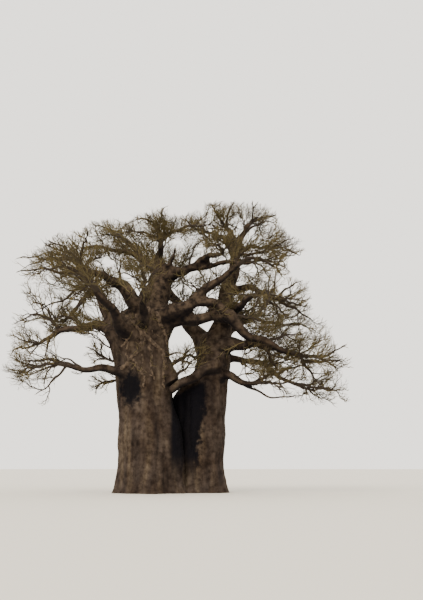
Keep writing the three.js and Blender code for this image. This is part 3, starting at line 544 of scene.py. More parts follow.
# The layers of colour over the barrel's own: how each is laid on, how strongly, and its tint. The
# last two are painted shade: the crown's tint and a near-black colour.
LAYERS = [
    ("MULTIPLY", 0.8, tints["worn"]),
    ("MULTIPLY", 0.8, tints["spots"]),
    # painted shade: the crown's dark tint
    ("MIX", masks["aloft_shade"], tints["crown"]),
    # painted shade and painted shadow, near black
    ("MIX", painted_shade, linear("#06060c")),
]
colour = tints["barrel"]
for blend, factor, tint in LAYERS:
    inputs = {"Factor": factor, 6: colour, 7: tint}
    colour = add_node(bark, "ShaderNodeMix", inputs, data_type="RGBA", blend_type=blend).outputs[2]
coarse = add_node(
    bark, "ShaderNodeBump", {"Height": patterns["wrinkles"], "Strength": 0.5, "Distance": 0.03}
).outputs["Normal"]
fine = add_node(
    bark,
    "ShaderNodeBump",
    {"Height": patterns["pores"], "Strength": 0.4, "Distance": 0.006, "Normal": coarse},
).outputs["Normal"]
skin = add_node(
    bark,
    "ShaderNodeBsdfPrincipled",
    {"Base Color": colour, "Roughness": 0.9, "IOR": 1.45, "Specular IOR Level": 0.1, "Normal": fine},
)
add_node(bark, "ShaderNodeOutputMaterial", {"Surface": skin.outputs["BSDF"]})


# The relief's four kinds: how close their noise is set, in waves per metre, and how far they stand
# out in metres. Folds and creases run down the wood, so their noise is stretched that way.
LUMP_WAVES, LUMP_HEIGHT = 0.75, 0.12
FOLD_WAVES, FOLD_DOWN, FOLD_HEIGHT = 1.9, 0.28, 0.16
CREASE_WAVES, CREASE_DOWN, CREASE_HEIGHT = 5.5, 0.9, 0.035
SCAR_WAVES, SCAR_HEIGHT = 3.1, 0.03
FULL_RELIEF = 1.2  # wood of this radius has the whole relief
MID_FOLD = 0.25  # folds rise above the skin where their noise is over this, and sink where it is under


def relief_at(point, normal, radius):
    """How far the bark stands out at a point, in metres, on wood of a given radius."""
    size = min(1.0, radius / FULL_RELIEF)
    steep = 1 - abs(normal.z)
    lumps = noise.noise(point * LUMP_WAVES) * LUMP_HEIGHT * size
    tall = Vector((point.x * FOLD_WAVES, point.y * FOLD_WAVES, point.z * FOLD_DOWN))
    folds = (abs(noise.noise(tall)) - MID_FOLD) * FOLD_HEIGHT * size * steep
    narrow = Vector((point.x * CREASE_WAVES, point.y * CREASE_WAVES, point.z * CREASE_DOWN + 7))
    creases = (abs(noise.noise(narrow)) - MID_FOLD) * CREASE_HEIGHT * (0.3 + 0.7 * size) * steep
    scars = noise.noise(point * SCAR_WAVES + Vector((5, 1, 2))) * SCAR_HEIGHT * (0.35 + 0.65 * size)
    return lumps + folds + creases + scars


# Where the relief looks up how thick the wood is: places along a bough, up a trunk, and round it at
# a share of its half width.
PLACES_ALONG = 14
PLACES_UP = 30
PLACES_ROUND = 12
PLACES_OUT = 0.7


def wood_near(trunk_name, family):
    """A search tree over a stem and its boughs, and the wood's radius at each of its places."""
    rows = []
    for limb in family:
        for t in np.linspace(0, limb["bark_end"], PLACES_ALONG):
            rows.append((limb["point_at"](t), limb["radius_at"](t)))
    trunk = TRUNKS[trunk_name]
    for level in np.linspace(0, trunk["levels"][-1][0], PLACES_UP):
        x, y, wide, _ = trunk_level(trunk, level)
        out = PLACES_OUT * wide
        for turn in np.linspace(0, 2 * math.pi, PLACES_ROUND, endpoint=False):
            rows.append(((x + out * math.cos(turn), y + out * math.sin(turn), level), wide))
    search = kdtree.KDTree(len(rows))
    for i, (point, _) in enumerate(rows):
        search.insert(point, i)
    search.balance()
    return search, [radius for _, radius in rows]


skins = {}  # each trunk's finished bark, to lay things on


def add_object(name, data):
    """An object in the scene."""
    made = bpy.data.objects.new(name, data)
    bpy.context.scene.collection.objects.link(made)
    return made


def add_bark(trunk_name):
    """One closed skin over a trunk and its boughs: fused, webbed, folded, and cut flat at the ground."""
    family = [limb for limb in LIMBS + SIDE_BOUGHS if limb["bark_end"] and stem_of(limb) == trunk_name]
    shape = bmesh.new()
    add_trunk(shape, TRUNKS[trunk_name], WEB)
    for limb in family:
        add_bough(shape, limb, WEB)
    bmesh.ops.recalc_face_normals(shape, faces=shape.faces)
    piece = add_object(trunk_name + "_bark", bpy.data.meshes.new(trunk_name + "_bark"))
    shape.to_mesh(piece.data)
    remesh = piece.modifiers.new("fuse", "REMESH")
    remesh.mode = "VOXEL"
    remesh.voxel_size = VOXEL[trunk_name]
    even = piece.modifiers.new("even", "SMOOTH")
    even.factor = 0.5
    even.iterations = 4
    shrink = piece.modifiers.new("back to the true skin", "DISPLACE")
    shrink.strength = -WEB
    shrink.mid_level = 0
    fused = bpy.data.meshes.new_from_object(piece.evaluated_get(bpy.context.evaluated_depsgraph_get()))
    piece.modifiers.clear()

    search, radii = wood_near(trunk_name, family)
    shape.clear()
    shape.from_mesh(fused)
    shape.normal_update()
    lifts = [relief_at(v.co, v.normal, radii[search.find(v.co)[1]]) for v in shape.verts]
    for vert, lift in zip(shape.verts, lifts):
        vert.co += vert.normal * lift
    parts = shape.verts[:] + shape.edges[:] + shape.faces[:]
    bmesh.ops.bisect_plane(shape, geom=parts, plane_co=(0, 0, 0), plane_no=(0, 0, 1), clear_inner=True)
    rims = [edge for edge in shape.edges if edge.is_boundary]
    bmesh.ops.holes_fill(shape, edges=rims, sides=0)
    shape.to_mesh(piece.data)
    skins[trunk_name] = BVHTree.FromBMesh(shape)
    shape.free()
    bpy.data.meshes.remove(fused)
    piece.data.shade_smooth()
    piece.data.materials.append(bark)
    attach(piece, "root")
    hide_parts(trunk_name, *("bough_" + limb["name"] for limb in family if limb in LIMBS))


for trunk_name in TRUNKS:
    add_bark(trunk_name)


# The coarse twigs
# Beyond the tip of its bough each mass goes on as a crooked stem. Main twigs leave the stem and
# reach for the skin of the mass, each with three side shoots, just where the solids have them.
GOLDEN_TURN = 2.399963  # radians from one twig to the next, so that none stands over another
SKIRT = 0.05  # share of a mass's reach that stays empty at the border with the next mass
TWIG_CLEAR = 0.05  # least gap between a twig and any wood but its parent
TRUNK_CLEAR = 1.12  # twigs keep this far off a trunk, as a share of its half sizes
STEM_BEND = 0.4  # share of its span on which a stem keeps its first direction
PAST_HEART = 0.45  # a stem goes on past its mass's heart by this share of the way there
STEM_KINK = 0.02
STEM_TAPER = 0.4
MAIN_KINK = 0.08
MAIN_THICK = (0.062, 0.03)
MOST_MAINS = 7
SIDE_SHOOTS = 3  # on each main twig of the solids
SHOOT_THICK = (0.028, 0.01)
SHOOT_ENDS = (0.02, 0.006)  # a shoot's radii where room for it is tested, as in the solids
MASS_SEED = 211  # of the first mass
SEED_STEP = 17  # from one mass to the next
BACK_FROM_TIP = 0.25  # how deep a stem's root lies in the tip of its bough


def child_seed(seed, index):
    """The seed of a twig's child, worked out from the twig's own seed."""
    step = np.uint64(977) * np.asarray(index + 1, np.uint64)
    return (np.asarray(seed, np.uint64) * np.uint64(31) + step) & WORD


def along(lines, share):
    """The point at a share of each line, counted in pieces, and the line's direction there."""
    pieces = lines.shape[1] - 1
    place = np.clip(share, 0, 1) * pieces
    piece = np.minimum(place.astype(int), pieces - 1)
    rows = np.arange(len(lines))
    step = lines[rows, piece + 1] - lines[rows, piece]
    return lines[rows, piece] + step * (place - piece)[:, None], unit(step)


def at_share(line, share):
    """The point and direction at a share of one line."""
    point, direction = along(line[None], np.array([share]))
    return point[0], direction[0]


def bend_through(start, middle, end, count):
    """Points on a quadratic curve."""
    t = np.linspace(0, 1, count + 1)[:, None]
    return (1 - t) ** 2 * start + 2 * t * (1 - t) * middle + t**2 * end


def kinked(line, wander, seed):
    """A line's points with the inner ones pushed off it, as crooked wood is."""
    last = len(line) - 1
    length = np.linalg.norm(line[last] - line[0])
    moved = line.copy()
    for i in range(1, last):
        a, b = square_to(at_share(line, i / last)[1])
        turn = 2 * math.pi * draw(seed, 40 + i)
        moved[i] = line[i] + wander * length * (a * math.cos(turn) + b * math.sin(turn))
    return moved


def own_space(mass, points):
    """Whether points are in the mass's own space, and not nearer to the heart of another mass."""
    own = depth_in(mass, points)
    free = own <= 1
    for other in MASSES:
        if other is not mass:
            free &= depth_in(other, points) > own + SKIRT
    return free


def near_trunk(points):
    """Whether points are inside or near a trunk."""
    near = np.zeros(points.shape[:-1], bool)
    for trunk in TRUNKS.values():
        top = trunk["levels"][-1][0]
        x, y, wide, deep = trunk_level(trunk, np.clip(points[..., 2], 0, top))
        aside = (points[..., 0] - x) / (wide * TRUNK_CLEAR)
        behind = (points[..., 1] - y) / (deep * TRUNK_CLEAR)
        near |= (np.hypot(aside, behind) < 1) & (points[..., 2] <= top + 1)
    return near


def new_line(points, radii, **facts):
    """A line of wood, with its pieces as rows: start, step, start radius, change of radius."""
    rows = np.column_stack([points[:-1], np.diff(points, axis=0), radii[:-1], np.diff(radii)])
    return dict(points=points, radii=radii, rows=rows, **facts)


def twig_fits(mass, points, parent):
    """Whether the outer part of a twig keeps its space, and keeps off all wood but its parent."""
    spots = np.array([at_share(points, share)[0] for share in (0.2, 0.4, 0.6, 0.8, 1)])
    if not own_space(mass, spots).all() or near_trunk(spots).any():
        return False
    rows = np.concatenate([line["rows"] for line in wood + mass["twigs"] if line is not parent])
    away = spots[:, None] - rows[:, 0:3]
    share = np.clip((away * rows[:, 3:6]).sum(-1) / (rows[:, 3:6] ** 2).sum(-1), 0, 1)
    gap = np.linalg.norm(away - share[..., None] * rows[:, 3:6], axis=-1) - rows[:, 6] - rows[:, 7] * share
    return gap.min() > TWIG_CLEAR


def stem_line(mass):
    """A mass's stem: it goes on from the bough's tip, or out of the trunk, through the mass's heart."""
    if mass["on"] in limbs:
        limb = limbs[mass["on"]]
        start, direction = at_share(limb["points"], 1)
        radius = limb["radii"][-1]
    else:
        x, y, wide, deep = trunk_level(TRUNKS[mass["on"]], mass["at"])
        angle = math.radians(mass["heading"])
        start = np.array([x + 0.8 * wide * math.cos(angle), y + 0.8 * deep * math.sin(angle), mass["at"]])
        direction = np.array([math.cos(angle), math.sin(angle), 0])
        radius = mass["radius"]
    centre = np.array(mass["centre"])
    end = centre + PAST_HEART * (centre - start)
    bend = start + direction * STEM_BEND * np.linalg.norm(end - start)
    points = kinked(bend_through(start, bend, end, 3), STEM_KINK, mass["seed"])
    radii = radius * (1 - (1 - STEM_TAPER) * np.linspace(0, 1, 4))
    return new_line(points, radii, forward=direction)


def main_line(stem, aim, seed):
    """The points of a main twig from its root on the stem to its aim."""
    for share in (0.9, 0.75, 0.6, 0.45, 0.3, 0.15):
        root, forward = at_share(stem["points"], share + 0.08 * (draw(seed, 1) - 0.5))
        if unit(aim - root) @ forward > 0.6:
            break
    span = aim - root
    bend = root + forward * 0.25 * np.linalg.norm(span) + span * 0.25
    return kinked(bend_through(root, bend, aim, 2), MAIN_KINK, seed)


def grow_mains(mass):
    """Main twigs, aimed at points spread evenly over the mass's skin, shorter where room is short."""
    count = min(MOST_MAINS, int(4 + np.prod(mass["reach"]) / 4 + 0.5))
    for i in range(count):
        seed = int(child_seed(mass["seed"], i))
        level = 1 - 2 * (i + 0.5) / count
        turn = GOLDEN_TURN * i + mass["seed"]
        flat = math.sqrt(1 - level * level)
        skin_point = np.array([flat * math.cos(turn), flat * math.sin(turn), level])
        for far in (1, 0.8, 0.6):
            depth = far * (0.84 + 0.13 * draw(seed, 0))
            aim = np.array(mass["centre"]) + np.array(mass["reach"]) * skin_point * depth
            points = main_line(mass["stem"], aim, seed)
            if twig_fits(mass, points, mass["stem"]):
                mass["twigs"].append(new_line(points, np.linspace(*MAIN_THICK, 3), seed=seed))
                break


def side_direction(forward, root, seed, turn, opening, rise, spread_out):
    """Which way a side shoot points: off its parent by an angle, then up and outward."""
    a, b = square_to(forward)
    opening = (opening + 0.35 * draw(seed, 1))[..., None]
    turn = turn[..., None]
    outward = unit(root * np.array([1.0, 1.0, 0.0]))
    aside = a * np.cos(turn) + b * np.sin(turn)
    return unit(forward * np.cos(opening) + aside * np.sin(opening) + UP * rise + outward * spread_out)


def grow_shoots(mass, parent, count):
    """The side shoots that the solids have on a main twig."""
    length = np.linalg.norm(parent["points"][-1] - parent["points"][0])
    for i in range(count):
        seed = int(child_seed(parent["seed"], i))
        share = 0.3 + 0.64 * (i + 0.5 * draw(seed, 0)) / (count - 0.5)
        root, forward = at_share(parent["points"], share)
        turn = np.array(GOLDEN_TURN * i + 2 * math.pi * draw(parent["seed"], 3))
        direction = side_direction(forward, root, seed, turn, opening=0.75, rise=0.2, spread_out=0.15)
        full = length * (0.62 - 0.3 * share) * (0.85 + 0.3 * draw(seed, 2))
        for reach in (full, 0.65 * full):
            points = np.array([root, root + direction * reach])
            if twig_fits(mass, points, parent):
                mass["twigs"].append(new_line(points, np.array(SHOOT_ENDS), seed=seed))
                break


for index, mass in enumerate(MASSES):
    mass["seed"] = MASS_SEED + SEED_STEP * index
    mass["stem"] = stem_line(mass)
    mass["twigs"] = []
wood = [new_line(limb["points"], limb["radii"]) for limb in LIMBS] + [mass["stem"] for mass in MASSES]
for mass in MASSES:
    grow_mains(mass)
    mass["mains"] = len(mass["twigs"])
    for twig in mass["twigs"][: mass["mains"]]:
        grow_shoots(mass, twig, SIDE_SHOOTS)


# The fine twigs
# The same rule goes on where the solids stop: more shoots on each main twig, twigs on the shoots
# and last year's growth on the twigs. Boughs carry such sprays too, all along their outer part.
MARGIN = 0.15  # how far a twig may pass the solids' box
OVER_SKIN = 1.06  # how far out of its mass's ellipsoid a fine twig may end
SHUT = 0.9  # share of the twigs in an opening that are left out
NO_MASS = -1  # the home of twigs that stand on a bough, outside every mass

# Seen from the front the crown is open to the sky in these ovals: centre x and z, half width and
# half height, all in the upright plane through the foot of the tree.
EYE = np.array([0.0, -52.0, 1.6])  # where the picture was taken from
OPENINGS = [
    (-6.4, 9.0, 1.2, 0.7), (-4.4, 14.4, 0.6, 0.3), (-4.9, 11.4, 0.5, 0.6), (-6.2, 6.3, 1.0, 0.8),
    (1.4, 12.9, 0.4, 0.3), (2.6, 12.4, 0.5, 0.3), (4.5, 7.35, 0.6, 0.3), (6.8, 6.5, 1.1, 0.4),
    (-2.9, 13.4, 0.4, 0.5), (4.2, 13.0, 0.3, 0.4), (5.1, 14.0, 0.5, 0.3), (7.2, 8.1, 0.3, 0.3),
    (1.9, 10.5, 0.2, 0.3), (2.1, 11.4, 0.4, 0.2), (-8.4, 8.7, 0.6, 0.5), (9.2, 7.3, 0.4, 0.3),
    (2.9, 15.6, 0.5, 0.2), (2.2, 16.5, 0.3, 0.3), (-4.0, 8.1, 0.5, 0.4), (0.6, 9.9, 0.6, 0.7),
    (3.0, 9.7, 0.9, 0.8), (-9.2, 11.3, 1.0, 0.5), (-8.1, 11.6, 0.8, 0.5), (4.6, 11.6, 0.4, 0.3),
    (6.0, 5.3, 1.3, 0.5), (8.3, 14.3, 0.9, 0.9), (7.4, 12.9, 0.7, 0.5),
]

# In these ovals the crown is fullest, and every twig there carries a larger share of shoots.
THICKER = 0.4
THICKETS = [
    (-0.2, 16.6, 2.2, 1.0), (-4.0, 15.2, 1.2, 0.9), (-2.8, 13.9, 1.2, 0.9), (1.0, 15.0, 1.4, 1.6),
    (1.0, 12.9, 1.2, 1.2), (-7.1, 9.9, 1.6, 0.9), (6.2, 9.0, 2.1, 1.6), (5.6, 15.3, 1.2, 0.9),
    (8.3, 7.5, 1.2, 0.7), (3.6, 17.9, 1.2, 0.5), (0.7, 16.2, 1.4, 0.7), (-6.4, 10.7, 1.0, 0.7),
    (0.9, 8.2, 0.9, 1.1),
]

# The crown's outline against the sky in the same plane, as x and the height of its top.
SKYLINE = np.array([
    (-10.9, 8.0), (-10.6, 9.1), (-10.2, 10.5), (-9.8, 13.8), (-9.3, 14.0), (-8.9, 15.2), (-8.4, 15.3),
    (-7.9, 16.0), (-7.4, 16.3), (-6.4, 16.5), (-5.9, 16.4), (-5.4, 17.3), (-4.9, 17.1), (-3.9, 17.4),
    (-3.3, 17.0), (-2.8, 17.2), (-2.3, 17.7), (-1.3, 17.8), (-0.8, 18.1), (-0.2, 18.0), (0.3, 17.6),
    (0.8, 17.6), (1.3, 17.9), (1.8, 18.2), (2.3, 18.5), (2.9, 18.6), (6.0, 18.5), (6.5, 18.3), (7.0, 16.9),
    (7.6, 16.4), (8.6, 16.0), (9.0, 11.3), (10.0, 10.8), (10.5, 8.6), (11.4, 8.3),
])


def in_front_plane(points):
    """Where points are seen in the upright plane through the foot: x and height."""
    seen = EYE + (points - EYE) * (-EYE[1] / (points[..., 1:2] - EYE[1]))
    return seen[..., 0], seen[..., 2]


def in_ovals(points, ovals):
    """Whether points stand before or behind one of some ovals in that plane."""
    across, up = in_front_plane(points)
    inside = np.zeros(points.shape[:-1], bool)
    for x, z, wide, high in ovals:
        inside |= np.hypot((across - x) / wide, (up - z) / high) < 1
    return inside


def in_opening(points):
    """Whether points stand before or behind an opening of the crown, or above its outline."""
    across, up = in_front_plane(points)
    return in_ovals(points, OPENINGS) | (up > np.interp(across, SKYLINE[:, 0], SKYLINE[:, 1]))


def smooth_through(lines, pieces):
    """Lines of more pieces on smooth curves through the points of coarse ones."""
    coarse = np.vander(np.linspace(0, 1, lines.shape[1]))
    finer = np.vander(np.linspace(0, 1, pieces + 1), lines.shape[1])
    return np.einsum("mk,nkd->nmd", finer @ np.linalg.inv(coarse), lines)


def gnarled(lines, wander, seed):
    """Lines with every inner point pushed aside by a share of a piece's length."""
    pieces = lines.shape[1] - 1
    step = np.linalg.norm(lines[:, -1] - lines[:, 0], axis=-1) / pieces
    a, b = square_to(unit(lines[:, -1] - lines[:, 0]))
    moved = lines.copy()
    for i in range(1, pieces):
        turn = 2 * math.pi * draw(seed, 60 + i)[:, None]
        size = (wander * step * (0.5 + draw(seed, 80 + i)))[:, None]
        moved[:, i] += size * (a * np.cos(turn) + b * np.sin(turn))
    return moved


def room_for(points, home, seed):
    """Whether points keep inside their masses, if they have one, and the box, and off the trunks."""
    low, high = np.array(solid_box[0]) - MARGIN, np.array(solid_box[1]) + MARGIN
    centre = np.array([mass["centre"] for mass in MASSES])
    reach = np.array([mass["reach"] for mass in MASSES])
    out = np.linalg.norm((points - centre[home]) / reach[home], axis=-1)
    inside = (home == NO_MASS) | (out <= OVER_SKIN)
    shut = in_opening(points) & (draw(seed, 11) < SHUT)
    return inside & (points > low).all(-1) & (points < high).all(-1) & ~near_trunk(points) & ~shut


def grow_on(parents, spacing, fewest, most, thick, pieces, wander, rise, own_tone=False, first=0, size=0.62):
    """A finer order of shoots on every parent, by the rule of the coarse ones."""
    line = parents["line"]
    length = np.linalg.norm(line[:, -1] - line[:, 0], axis=-1)
    fuller = 1 + THICKER * in_ovals(line[:, -1], THICKETS)
    count = np.clip(fuller * length / spacing, fewest, most * fuller).round().astype(int)
    who = np.repeat(np.arange(len(line)), count)
    i = np.arange(len(who)) - np.repeat(np.cumsum(count) - count, count)
    seed = child_seed(parents["seed"][who], i + first)
    share = 0.2 + 0.78 * (i + 0.5 * draw(seed, 0)) / (count[who] - 0.5)
    root, forward = along(line[who], share)
    turn = GOLDEN_TURN * i + 2 * math.pi * draw(parents["seed"][who], 3)
    direction = side_direction(forward, root, seed, turn, opening=0.55, rise=0.2, spread_out=0.2)
    reach = length[who] * (size - 0.3 * share) * (0.85 + 0.3 * draw(seed, 2))
    keep = np.zeros(len(who), bool)
    for shorter in (1, 0.65, 0.4):
        end = root + direction * (reach * shorter)[:, None]
        fits = room_for(end, parents["home"][who], seed) & ~keep
        reach = np.where(fits, reach * shorter, reach)
        keep |= fits
    s = np.linspace(0, 1, pieces + 1)[None, :, None]
    reach = reach[:, None, None]
    lines = root[:, None] + direction[:, None] * reach * s + UP * rise * reach * s * s
    tones = young_wood(seed) if own_tone else parents["tone"][who]
    grown = dict(line=gnarled(lines, wander, seed), seed=seed, home=parents["home"][who], tone=tones)
    grown = {key: rows[keep] for key, rows in grown.items()}
    grown["thick"] = np.tile(np.array(thick, float), (len(grown["seed"]), 1))
    return grown


def gather(rows, pieces, wander, thick, home, tone):
    """Coarse lines of the same kind, made smooth and gnarled."""
    seed = np.array([row["seed"] for row in rows], np.uint64)
    lines = smooth_through(np.array([row["points"] for row in rows]), pieces)
    return dict(
        line=gnarled(lines, wander, seed),
        seed=seed,
        home=np.full(len(rows), home),
        tone=tone(seed),
        thick=np.tile(np.array(thick, float), (len(rows), 1)),
    )


def joined(*orders):
    """Orders of twigs with the same count of pieces, put together."""
    return {key: np.concatenate([order[key] for order in orders]) for key in orders[0]}


# Twig bark: smooth and dull, without leaves. Old wood is dark brown and young shoots are olive to
# tan, so each spray gets one plain colour of these. Leaf scars some 30 mm apart roughen it.
TONES = ["#2f2720", "#4d442b", "#5d5232", "#423927", "#6a5e3e"]
SCAR_SPACING = 0.03
twig_barks = []
for colour_index, tone_colour in enumerate(TONES):
    twig_bark = new_material(f"twig bark {colour_index + 1}")
    place = add_node(twig_bark, "ShaderNodeTexCoord", {}).outputs["Object"]
    grain = add_node(
        twig_bark, "ShaderNodeTexNoise", {"Vector": place, "Scale": 1 / SCAR_SPACING, "Detail": 2.0}
    ).outputs["Fac"]
    rough = add_node(
        twig_bark, "ShaderNodeMapRange", {"Value": grain, "To Min": 0.75, "To Max": 0.95}
    ).outputs["Result"]
    bump = add_node(
        twig_bark, "ShaderNodeBump", {"Height": grain, "Strength": 0.4, "Distance": 0.005}
    ).outputs["Normal"]
    surface = add_node(
        twig_bark,
        "ShaderNodeBsdfPrincipled",
        {
            "Base Color": linear(tone_colour),
            "Roughness": rough,
            "IOR": 1.45,
            "Specular IOR Level": 0.3,
            "Normal": bump,
        },
    )
    add_node(twig_bark, "ShaderNodeOutputMaterial", {"Surface": surface.outputs["BSDF"]})
    twig_barks.append(twig_bark)


def old_wood(seed):
    return np.zeros(len(seed), int)


def young_wood(seed):
    return 1 + (draw(seed, 9) * (len(TONES) - 1)).astype(int)


def tubes(order, sides):
    """Every twig of an order as a tapering tube with a closed root and a pointed tip."""
    line = order["line"]
    count, rings = line.shape[0], line.shape[1] - 1
    forward = unit(np.gradient(line, axis=1))
    guide = square_to(unit(line[:, -1] - line[:, 0]))[0][:, None]
    across = unit(guide - forward * (guide * forward).sum(-1, keepdims=True))
    second = np.cross(forward, across)
    share = np.linspace(0, 1, rings + 1)[None, :, None]
    radius = order["thick"][:, None, :1] * (1 - share) + order["thick"][:, None, 1:] * share
    angle = np.linspace(0, 2 * math.pi, sides, endpoint=False)[None, None, :, None]
    ring = (np.cos(angle) * across[:, :, None] + np.sin(angle) * second[:, :, None]) * radius[:, :, None]
    points = (line[:, :, None] + ring)[:, :rings].reshape(count, rings * sides, 3)
    points = np.concatenate([points, line[:, -1:]], axis=1)
    faces = [(0, j + 1, j) for j in range(1, sides - 1)]
    for j in range(sides):
        k = (j + 1) % sides
        for low in range(0, (rings - 1) * sides, sides):
            faces.append((low + j, low + k, low + sides + k))
            faces.append((low + j, low + sides + k, low + sides + j))
        last = (rings - 1) * sides
        faces.append((last + j, last + k, rings * sides))
    faces = np.array(faces)
    offsets = np.arange(count)[:, None, None] * points.shape[1]
    triangles = (faces[None] + offsets).reshape(-1, 3)
    return points.reshape(-1, 3), triangles, np.repeat(order["tone"], len(faces))


def add_twig_piece(name, batches, nodes):
    """One joined mesh from batches of tubes, standing for the nodes of its masses."""
    mesh = bpy.data.meshes.new(name)
    starts = np.cumsum([0] + [len(points) for points, _, _ in batches])
    points = np.concatenate([points for points, _, _ in batches])
    triangles = np.concatenate([rows + start for (_, rows, _), start in zip(batches, starts)])
    tones = np.concatenate([tone for _, _, tone in batches])
    mesh.vertices.add(len(points))
    mesh.vertices.foreach_set("co", points.astype(np.float32).ravel())
    mesh.loops.add(3 * len(triangles))
    mesh.loops.foreach_set("vertex_index", triangles.astype(np.int32).ravel())
    mesh.polygons.add(len(triangles))
    mesh.polygons.foreach_set("loop_start", np.arange(0, 3 * len(triangles), 3, dtype=np.int32))
    mesh.polygons.foreach_set("material_index", tones.astype(np.int32))
    mesh.update(calc_edges=True)
    mesh.shade_smooth()
    for twig_bark in twig_barks:
        mesh.materials.append(twig_bark)
    piece = add_object(name, mesh)
    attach(piece, "root")
    if nodes:
        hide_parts(*nodes)


# The fine orders: how far apart they stand, the fewest and most on one parent, how thick their root
# and tip are, and how each of their pieces wanders and all of it bends up.
MORE_SHOOTS = dict(fewest=3, most=12, thick=SHOOT_THICK, pieces=4, wander=0.2, rise=0.1, own_tone=True,
                   first=SIDE_SHOOTS)
TWIGS = dict(spacing=0.2, fewest=2, most=6, thick=(0.015, 0.008), pieces=2, wander=0.2, rise=0.12)
ENDS = dict(spacing=0.1, fewest=2, most=6, thick=(0.008, 0.003), pieces=1, wander=0, rise=0, size=0.85)


def fine_batches(shoots):
    """The tubes of a batch of shoots, of the twigs on them, and of last year's growth on those."""
    twigs = grow_on(shoots, **TWIGS)
    ends = grow_on(twigs, **ENDS)
    return [tubes(order, sides=3) for order in (shoots, twigs, ends)]


def joined_ends(stems, mains):
    """Stems and mains as lines of the same count of pieces, for shoots to grow on."""
    line = stems["line"]
    shares = np.linspace(0, 1, mains["line"].shape[1])
    points = [along(line, np.full(len(line), share))[0] for share in shares]
    return joined(dict(stems, line=np.stack(points, axis=1)), mains)


def twigs_of(mass, home, spacing):
    """All the twigs of a mass as batches of tubes."""
    stem = dict(points=mass["stem"]["points"].copy(), seed=mass["seed"])
    stem["points"][0] -= mass["stem"]["forward"] * BACK_FROM_TIP
    radius = mass["stem"]["radii"][0]
    taper = (radius, radius * STEM_TAPER)
    stems = gather([stem], pieces=9, wander=0.15, thick=taper, home=home, tone=old_wood)
    mains = mass["twigs"][: mass["mains"]]
    mains = gather(mains, pieces=8, wander=0.2, thick=MAIN_THICK, home=home, tone=old_wood)
    shoots = mass["twigs"][mass["mains"] :]
    shoots = gather(shoots, pieces=4, wander=0.2, thick=SHOOT_THICK, home=home, tone=young_wood)
    more = grow_on(joined_ends(stems, mains), spacing, **MORE_SHOOTS)
    return [tubes(stems, sides=8), tubes(mains, sides=6)] + fine_batches(joined(shoots, more))


# The masses that make one piece, and how far apart the shoots stand on their main twigs.
GROUPS = {
    "left_low_twigs": (0.3, ("left_low", "left_mid", "tuft_low", "tuft_side")),
    "left_high_twigs": (0.28, ("left_droop", "left_high", "left_cross")),
    "top_left_twigs": (0.18, ("top_left", "top_mid", "over_high")),
    "top_right_twigs": (0.22, ("top_right_a", "top_right_b", "top_right_c", "right_upper")),
    "right_high_twigs": (0.34, ("long_right", "right_mid", "right_thin", "cleft")),
    "right_low_twigs": (0.26, ("right_long", "right_low", "right_bottom")),
    "front_twigs": (0.5, ("front_left", "front_mid", "front_right")),
    "back_twigs": (0.26, ("back_cross", "back_left", "back_right")),
}
for group, (spacing, names) in GROUPS.items():
    batches = []
    for home, mass in enumerate(MASSES):
        if mass["name"] in names:
            batches += twigs_of(mass, home, spacing)
    add_twig_piece(group, batches, ["twigs_" + name for name in names])


# The branches
# Every bough carries branches of the same crooked wood. They start where the bough has left its
# parent well behind, and get shorter towards its tip. The side boughs' thin ends go with them.
BRANCH_THICK = (0.042, 0.016)
BRANCH_SHOOTS = dict(spacing=0.27, fewest=3, most=8, thick=(0.026, 0.011), pieces=4, wander=0.2, rise=0.1,
                     own_tone=True)
OFF_TRUNK = 1.5  # how far out the first branch stands on a bough of a trunk
OFF_BOUGH = 0.6  # and on a bough of a bough
LEAST_REACH = 0.9
MORE_REACH = 1.5  # a branch may be this much longer than the least
TIP_SHORTER = 0.45  # how much shorter branches get from a bough's root to its tip
BRANCH_SEED = 900
FORWARD = -0.45  # branches that point more to the front than this are left out, and the bough shows

# The boughs whose branches make one piece, and how far apart the branches stand on them.
BRANCH_GROUPS = {
    "left_low_branches": (0.42, (
        "left_low", "left_mid", "left_droop", "left_arm", "left_hang", "left_whip", "low_upper", "low_drop",
        "low_back", "mid_spray", "mid_back", "flank_low", "flank_high",
    )),
    "left_high_branches": (0.4, (
        "left_high", "left_cross", "left_long", "left_fan", "left_fan_high", "left_level", "left_drop",
        "cross_riser", "inner_left",
    )),
    "top_left_branches": (0.3, ("left_stem", "top_left", "top_mid", "left_upper", "top_band", "top_west")),
    "top_middle_branches": (0.34, (
        "over_limb", "over_high", "over_long", "back_cross", "arch_low", "crest_mid", "gap_left", "gap_right",
        "long_riser",
    )),
    "top_right_branches": (0.3, (
        "right_stem", "top_right_a", "top_right_b", "top_right_c", "right_upper", "upper_twin", "crest_right",
        "crest_left", "fan_right",
    )),
    "right_high_branches": (0.42, (
        "long_right", "arch", "right_mid", "right_thin", "mid_on", "mid_tuft", "thin_twin", "mid_low",
        "arch_spray",
    )),
    "right_low_branches": (0.32, (
        "right_long", "right_low", "right_bottom", "long_twin", "long_spray", "low_spray", "low_fill",
        "twin_fill", "sill_high", "sill_low", "sill_side", "long_on", "long_drop", "long_link", "low_link",
        "low_on", "bottom_up",
    )),
    "front_branches": (0.6, ("front_left", "front_mid", "front_right")),
    "back_branches": (0.36, ("back_left", "back_right")),
}


